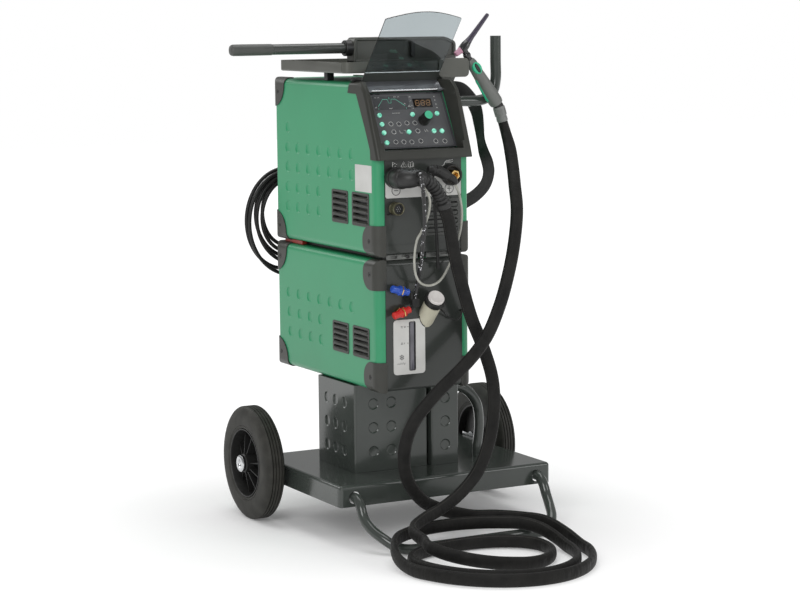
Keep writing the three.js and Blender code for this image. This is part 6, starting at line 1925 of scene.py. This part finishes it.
# ---------------------------------------------------------------- push bar
# A round bar stands out of the box to the left and ends in a closed rubber grip.
bar_grey = finish("bar_grey", (0.036, 0.040, 0.037), (0.046, 0.050, 0.046), (0.22, 0.30), 12, 1300, 0.04,
                  coat=0.2)
grip_grey = finish("grip_grey", (0.050, 0.054, 0.050), (0.062, 0.066, 0.060), (0.42, 0.54), 30, 1100, 0.12)
BAR_WAY = Vector((1, 0, 0))
bar = spun("push_bar_tube", [(0, 0.02), (0.0128, 0.02), (0.0128, 0.3228), (0, 0.3228)],
           at(-0.3975, -0.080, 1.195), BAR_WAY, 48)
bar.data.materials.append(bar_grey)
grip = spun("push_bar_grip", [
    (0, 0), (0.0082, 0), (0.0112, 0.0012), (0.0131, 0.0038), (0.0139, 0.0080), (0.0141, 0.0300),
    (0.0137, 0.1050),
    (0.0137, 0.1085), (0.0130, 0.1100), (0, 0.1100)], at(-0.3985, -0.080, 1.195), BAR_WAY, 48)
soften(grip, 0)
grip.data.materials.append(grip_grey)
for piece in (bar, grip):
    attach(piece, "machine")
    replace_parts(piece, "push_bar")

# ---------------------------------------------------------------- torch handle
# The torch hangs at the tray's right: a grey handle with a green boss round its key and a green strip behind.
# Below it are a black gap ring and a grey ribbed nut that takes the hose jacket.
TORCH_Y = -0.181
torch_top = at(0.207, TORCH_Y, 1.163)
torch_low = at(0.291, TORCH_Y, 1.044)
torch_end = at(0.303, TORCH_Y, 1.006)
torch_way = (torch_low - torch_top).normalized()
torch_side = torch_way.cross(Vector((0, 1, 0)))
handle_grey = finish("handle_grey", (0.115, 0.120, 0.112), (0.145, 0.150, 0.140), (0.42, 0.54), 26, 1500,
                     0.16)
nut_grey = finish("nut_grey", (0.150, 0.155, 0.150), (0.190, 0.195, 0.188), (0.36, 0.48), 26, 1300, 0.10)
trim_green = finish("trim_green", (0.020, 0.36, 0.19), (0.030, 0.44, 0.24), (0.32, 0.42), 40, 1200, 0.06)
handle_profile = [(0, 0), (0.0080, 0), (0.0100, 0.0012), (0.0120, 0.0050), (0.0134, 0.0120), (0.0140, 0.0250),
                  (0.0148, 0.0450), (0.0156, 0.0620), (0.0170, 0.0820), (0.0180, 0.1050), (0.0180, 0.1280),
                  (0.0170, 0.1350), (0.0152, 0.1375), (0, 0.1375)]
handle = spun("torch_grip", handle_profile, torch_top, torch_way, 56)
gap_ring = spun("torch_gap_ring", [(0, 0.1373), (0.0132, 0.1373), (0.0132, 0.1470), (0, 0.1470)], torch_top,
                torch_way, 44)
nut_way = torch_end - torch_low
nut = spun("torch_nut", [
    (0, -0.0005), (0.0130, -0.0005), (0.0149, 0.0015), (0.0153, 0.0050), (0.0153, 0.0215), (0.0146, 0.0240),
    (0.0134, 0.0250), (0.0134, 0.0275), (0.0140, 0.0290), (0.0140, 0.0375), (0.0128, 0.0392), (0, 0.0396)],
    torch_low, nut_way, 48)
pick(nut, "faces", lambda f: outward(f, torch_low, nut_way.normalized(), 0.0151) and f.index % 2 == 0)
bpy.ops.mesh.inset(thickness=0.0003, depth=-0.0010, use_individual=True)
object_mode()
key_mid = torch_top + torch_way * 0.026


def oval(name, half_long, half_wide, y0, y1, steps=40):
    """An oval block over the handle, long way down it, between two depths in front of the axis."""
    ring = []
    for k in range(steps):
        a = 2 * math.pi * k / steps
        ring.append(key_mid + torch_way * (half_long * math.cos(a)) + torch_side * (half_wide * math.sin(a))
                    + Vector((0, y0, 0)))
    return profile_solid(name, ring, Vector((0, y1 - y0, 0)))


boss = oval("key_boss", 0.0165, 0.0118, -0.0035, -0.0158)
boss_front = key_mid.y - 0.0158
pick(boss, "edges", lambda c: all(abs(v.y - boss_front) < 1e-5 for v in c))
bpy.ops.mesh.bevel(offset=0.0022, segments=4)
object_mode()
for piece in (handle, boss):
    combine(piece, oval("well", 0.0135, 0.0052, -0.0078, -0.0300))
    soften(piece, 0)
handle.data.materials.append(handle_grey)
boss.data.materials.append(trim_green)
strip_line = []
for k in range(15):
    along = 0.054 + 0.0045 * k
    radius = 0.0154 + 0.0026 * smooth_step(0.058, 0.105, along)
    sink = 0.0026 if 0 < k < 14 else 0.0040
    strip_line.append(torch_top + torch_way * along - torch_side * (radius - sink))
zero = at(0, 0, 0)
strip = tube("torch_strip", [p - zero for p in strip_line], 0.0050, trim_green, 0.002)
for piece, paint, slot in ((gap_ring, black_plastic, "black_plastic"), (nut, nut_grey, "black_plastic")):
    soften(piece, 0)
    piece.data.materials.append(paint)
for piece, slot in ((handle, "black_plastic"), (boss, "green_plastic"), (gap_ring, "black_plastic"),
                    (nut, "black_plastic"),
                    (strip, "green_plastic")):
    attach(piece, "torch")
    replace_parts(piece, "torch_handle")
key = oval("torch_key", 0.0125, 0.0044, -0.0105, -0.0172)
key_front = key_mid.y - 0.0172
pick(key, "edges", lambda c: all(abs(v.y - key_front) < 1e-5 for v in c))
bpy.ops.mesh.bevel(offset=0.0018, segments=4)
object_mode()
soften(key, 0)
key.data.materials.append(black_and_painted_slot_shade)
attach(key, "trigger")
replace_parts(key, "torch_trigger")

# ---------------------------------------------------------------- torch head
# A black insulated head on a bent neck: a pink ceramic nozzle below, a long tapering back cap above.
ceramic = finish("ceramic", (0.46, 0.22, 0.31), (0.56, 0.30, 0.40), (0.42, 0.55), 60, 1500, 0.12)
head_black = finish("head_black", (0.010, 0.010, 0.011), (0.016, 0.016, 0.018), (0.16, 0.26), 40, 1100, 0.05,
                    coat=0.3)
cap_violet = finish("cap_violet", (0.030, 0.024, 0.042), (0.042, 0.034, 0.058), (0.24, 0.34), 30, 1100, 0.05)
head_mid = at(0.190, TORCH_Y, 1.192)
nose_way = at(0.167, TORCH_Y, 1.176) - head_mid
cap_way = at(0.261, TORCH_Y, 1.275) - at(0.199, TORCH_Y, 1.2025)
nozzle = spun("torch_nozzle", [
    (0, 0.0065), (0.0088, 0.0065), (0.0088, 0.0110), (0.0078, 0.0130), (0.0066, 0.0255), (0.0060, 0.0278),
    (0.0048, 0.0280),
    (0.0045, 0.0240), (0, 0.0240)], head_mid, nose_way, 36)
nozzle_ring = spun("nozzle_ring",
                   [(0, 0.0030), (0.0096, 0.0030), (0.0100, 0.0040), (0.0100, 0.0064), (0.0092, 0.0072),
                    (0, 0.0072)],
                   head_mid, nose_way, 36)
head_body = spun("torch_head_body", [
    (0, -0.0110), (0.0080, -0.0110), (0.0104, -0.0085), (0.0114, -0.0030), (0.0114, 0.0060), (0.0108, 0.0120),
    (0.0092, 0.0180), (0, 0.0180)], head_mid, cap_way, 40)
back_cap = spun("torch_back_cap", [
    (0, 0.0020), (0.0090, 0.0020), (0.0092, 0.0040), (0.0086, 0.0085), (0.0074, 0.0150), (0.0066, 0.0240),
    (0.0059, 0.0560),
    (0.0050, 0.0900), (0.0044, 0.0945), (0.0020, 0.0960), (0, 0.0962)], at(0.199, TORCH_Y, 1.2025), cap_way,
    36)
neck = tube("torch_neck", [
    (0.190, TORCH_Y, 1.192), (0.1935, TORCH_Y, 1.1855), (0.1985, TORCH_Y, 1.176), (0.2062, TORCH_Y, 1.1645)],
    0.0076,
    head_black, 0.002)
bead = spun("neck_bead",
            [(0, -0.0098)] + [(0.0098 * math.sin(math.pi * k / 14), -0.0098 * math.cos(math.pi * k / 14))
                                           for k in range(1, 14)] + [(0, 0.0098)],
            at(0.1995, TORCH_Y - 0.001, 1.1735), Vector((0.3, -0.2, -0.9)), 32)
for piece, paint in ((nozzle, ceramic), (nozzle_ring, cap_white), (head_body, head_black),
                     (back_cap, cap_violet),
                     (bead, head_black)):
    soften(piece, 0)
    piece.data.materials.append(paint)
for piece in (nozzle, nozzle_ring, head_body, back_cap, neck, bead):
    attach(piece, "torch")
    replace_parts(piece, "torch_head")

# ---------------------------------------------------------------- strap
# A black woven strap, 33 mm wide, hangs in a twisted loop beside the power source.
stations = ((0.1302, 1.084, 90, 0), (0.150, 1.086, 90, 0), (0.185, 1.092, 88, 0), (0.222, 1.088, 70, 0),
            (0.250, 1.064, 40, 0),
            (0.267, 1.030, 12, 52), (0.274, 0.995, 6, 70), (0.279, 0.960, 4, 78), (0.287, 0.930, -4, 62),
            (0.298, 0.900, -8, 24), (0.302, 0.872, -10, 5), (0.291, 0.842, -35, 0), (0.262, 0.816, -60, 0),
            (0.218, 0.793, -66, 0),
            (0.172, 0.758, -72, 0), (0.150, 0.748, -88, 0), (0.1302, 0.746, -90, 0))
STRAP_Y = -0.112
strap_path, strap_rings = [], []
for i in range(len(stations) - 1):
    before = stations[max(i - 1, 0)]
    a, b = stations[i], stations[i + 1]
    after = stations[min(i + 2, len(stations) - 1)]
    for k in range(12):
        s = k / 12
        x, z, lean, twist = (0.5 * (2 * q + (r - p) * s + (2 * p - 5 * q + 4 * r - w) * s * s
                                    + (3 * q - p - 3 * r + w) * s ** 3) for p, q, r,
                                    w in zip(before, a, b, after))
        lean, twist = math.radians(lean), math.radians(twist)
        wide = Vector((math.cos(lean) * math.cos(twist), -math.sin(twist), math.sin(lean) * math.cos(twist)))
        run = Vector((math.sin(lean), 0, -math.cos(lean)))
        out = wide.cross(run).normalized()
        middle = at(x, STRAP_Y, z)
        ring = []
        for u, v in [(c / 5, 1) for c in range(-5, 6)] + [(c / 5, -1) for c in range(5, -6, -1)]:
            edge = 0.55 if abs(u) > 0.99 else 1.0
            wave = 0.0007 * math.sin(u * 2.2 + i * 1.3 + s)
            ring.append(middle + wide * (u * 0.0163) + out * (v * 0.0012 * edge + wave))
        strap_path.append(middle)
        strap_rings.append(ring)
strap = ringed("strap_webbing", strap_path, strap_rings)
webbing, nodes, links, shader = new_material("webbing")
place = nodes.new("ShaderNodeUVMap")
place.uv_map = "along"
stretch = new_node(nodes, "Mapping", Scale=(66, 1150, 1))
links.new(place.outputs["UV"], stretch.inputs["Vector"])
weave = new_node(nodes, "TexChecker", Scale=1.0)
weave.inputs["Color1"].default_value = (0.006, 0.006, 0.006, 1)
weave.inputs["Color2"].default_value = (0.017, 0.017, 0.016, 1)
links.new(stretch.outputs["Vector"], weave.inputs["Vector"])
links.new(weave.outputs["Color"], shader.inputs["Base Color"])
relief = new_node(nodes, "Bump", Strength=0.5, Distance=0.0003)
links.new(weave.outputs["Fac"], relief.inputs["Height"])
links.new(relief.outputs["Normal"], shader.inputs["Normal"])
shader.inputs["Roughness"].default_value = 0.62
shader.inputs["Sheen Weight"].default_value = 0.1
strap.data.materials.append(webbing)
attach(strap, "machine")
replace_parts(strap, "strap")
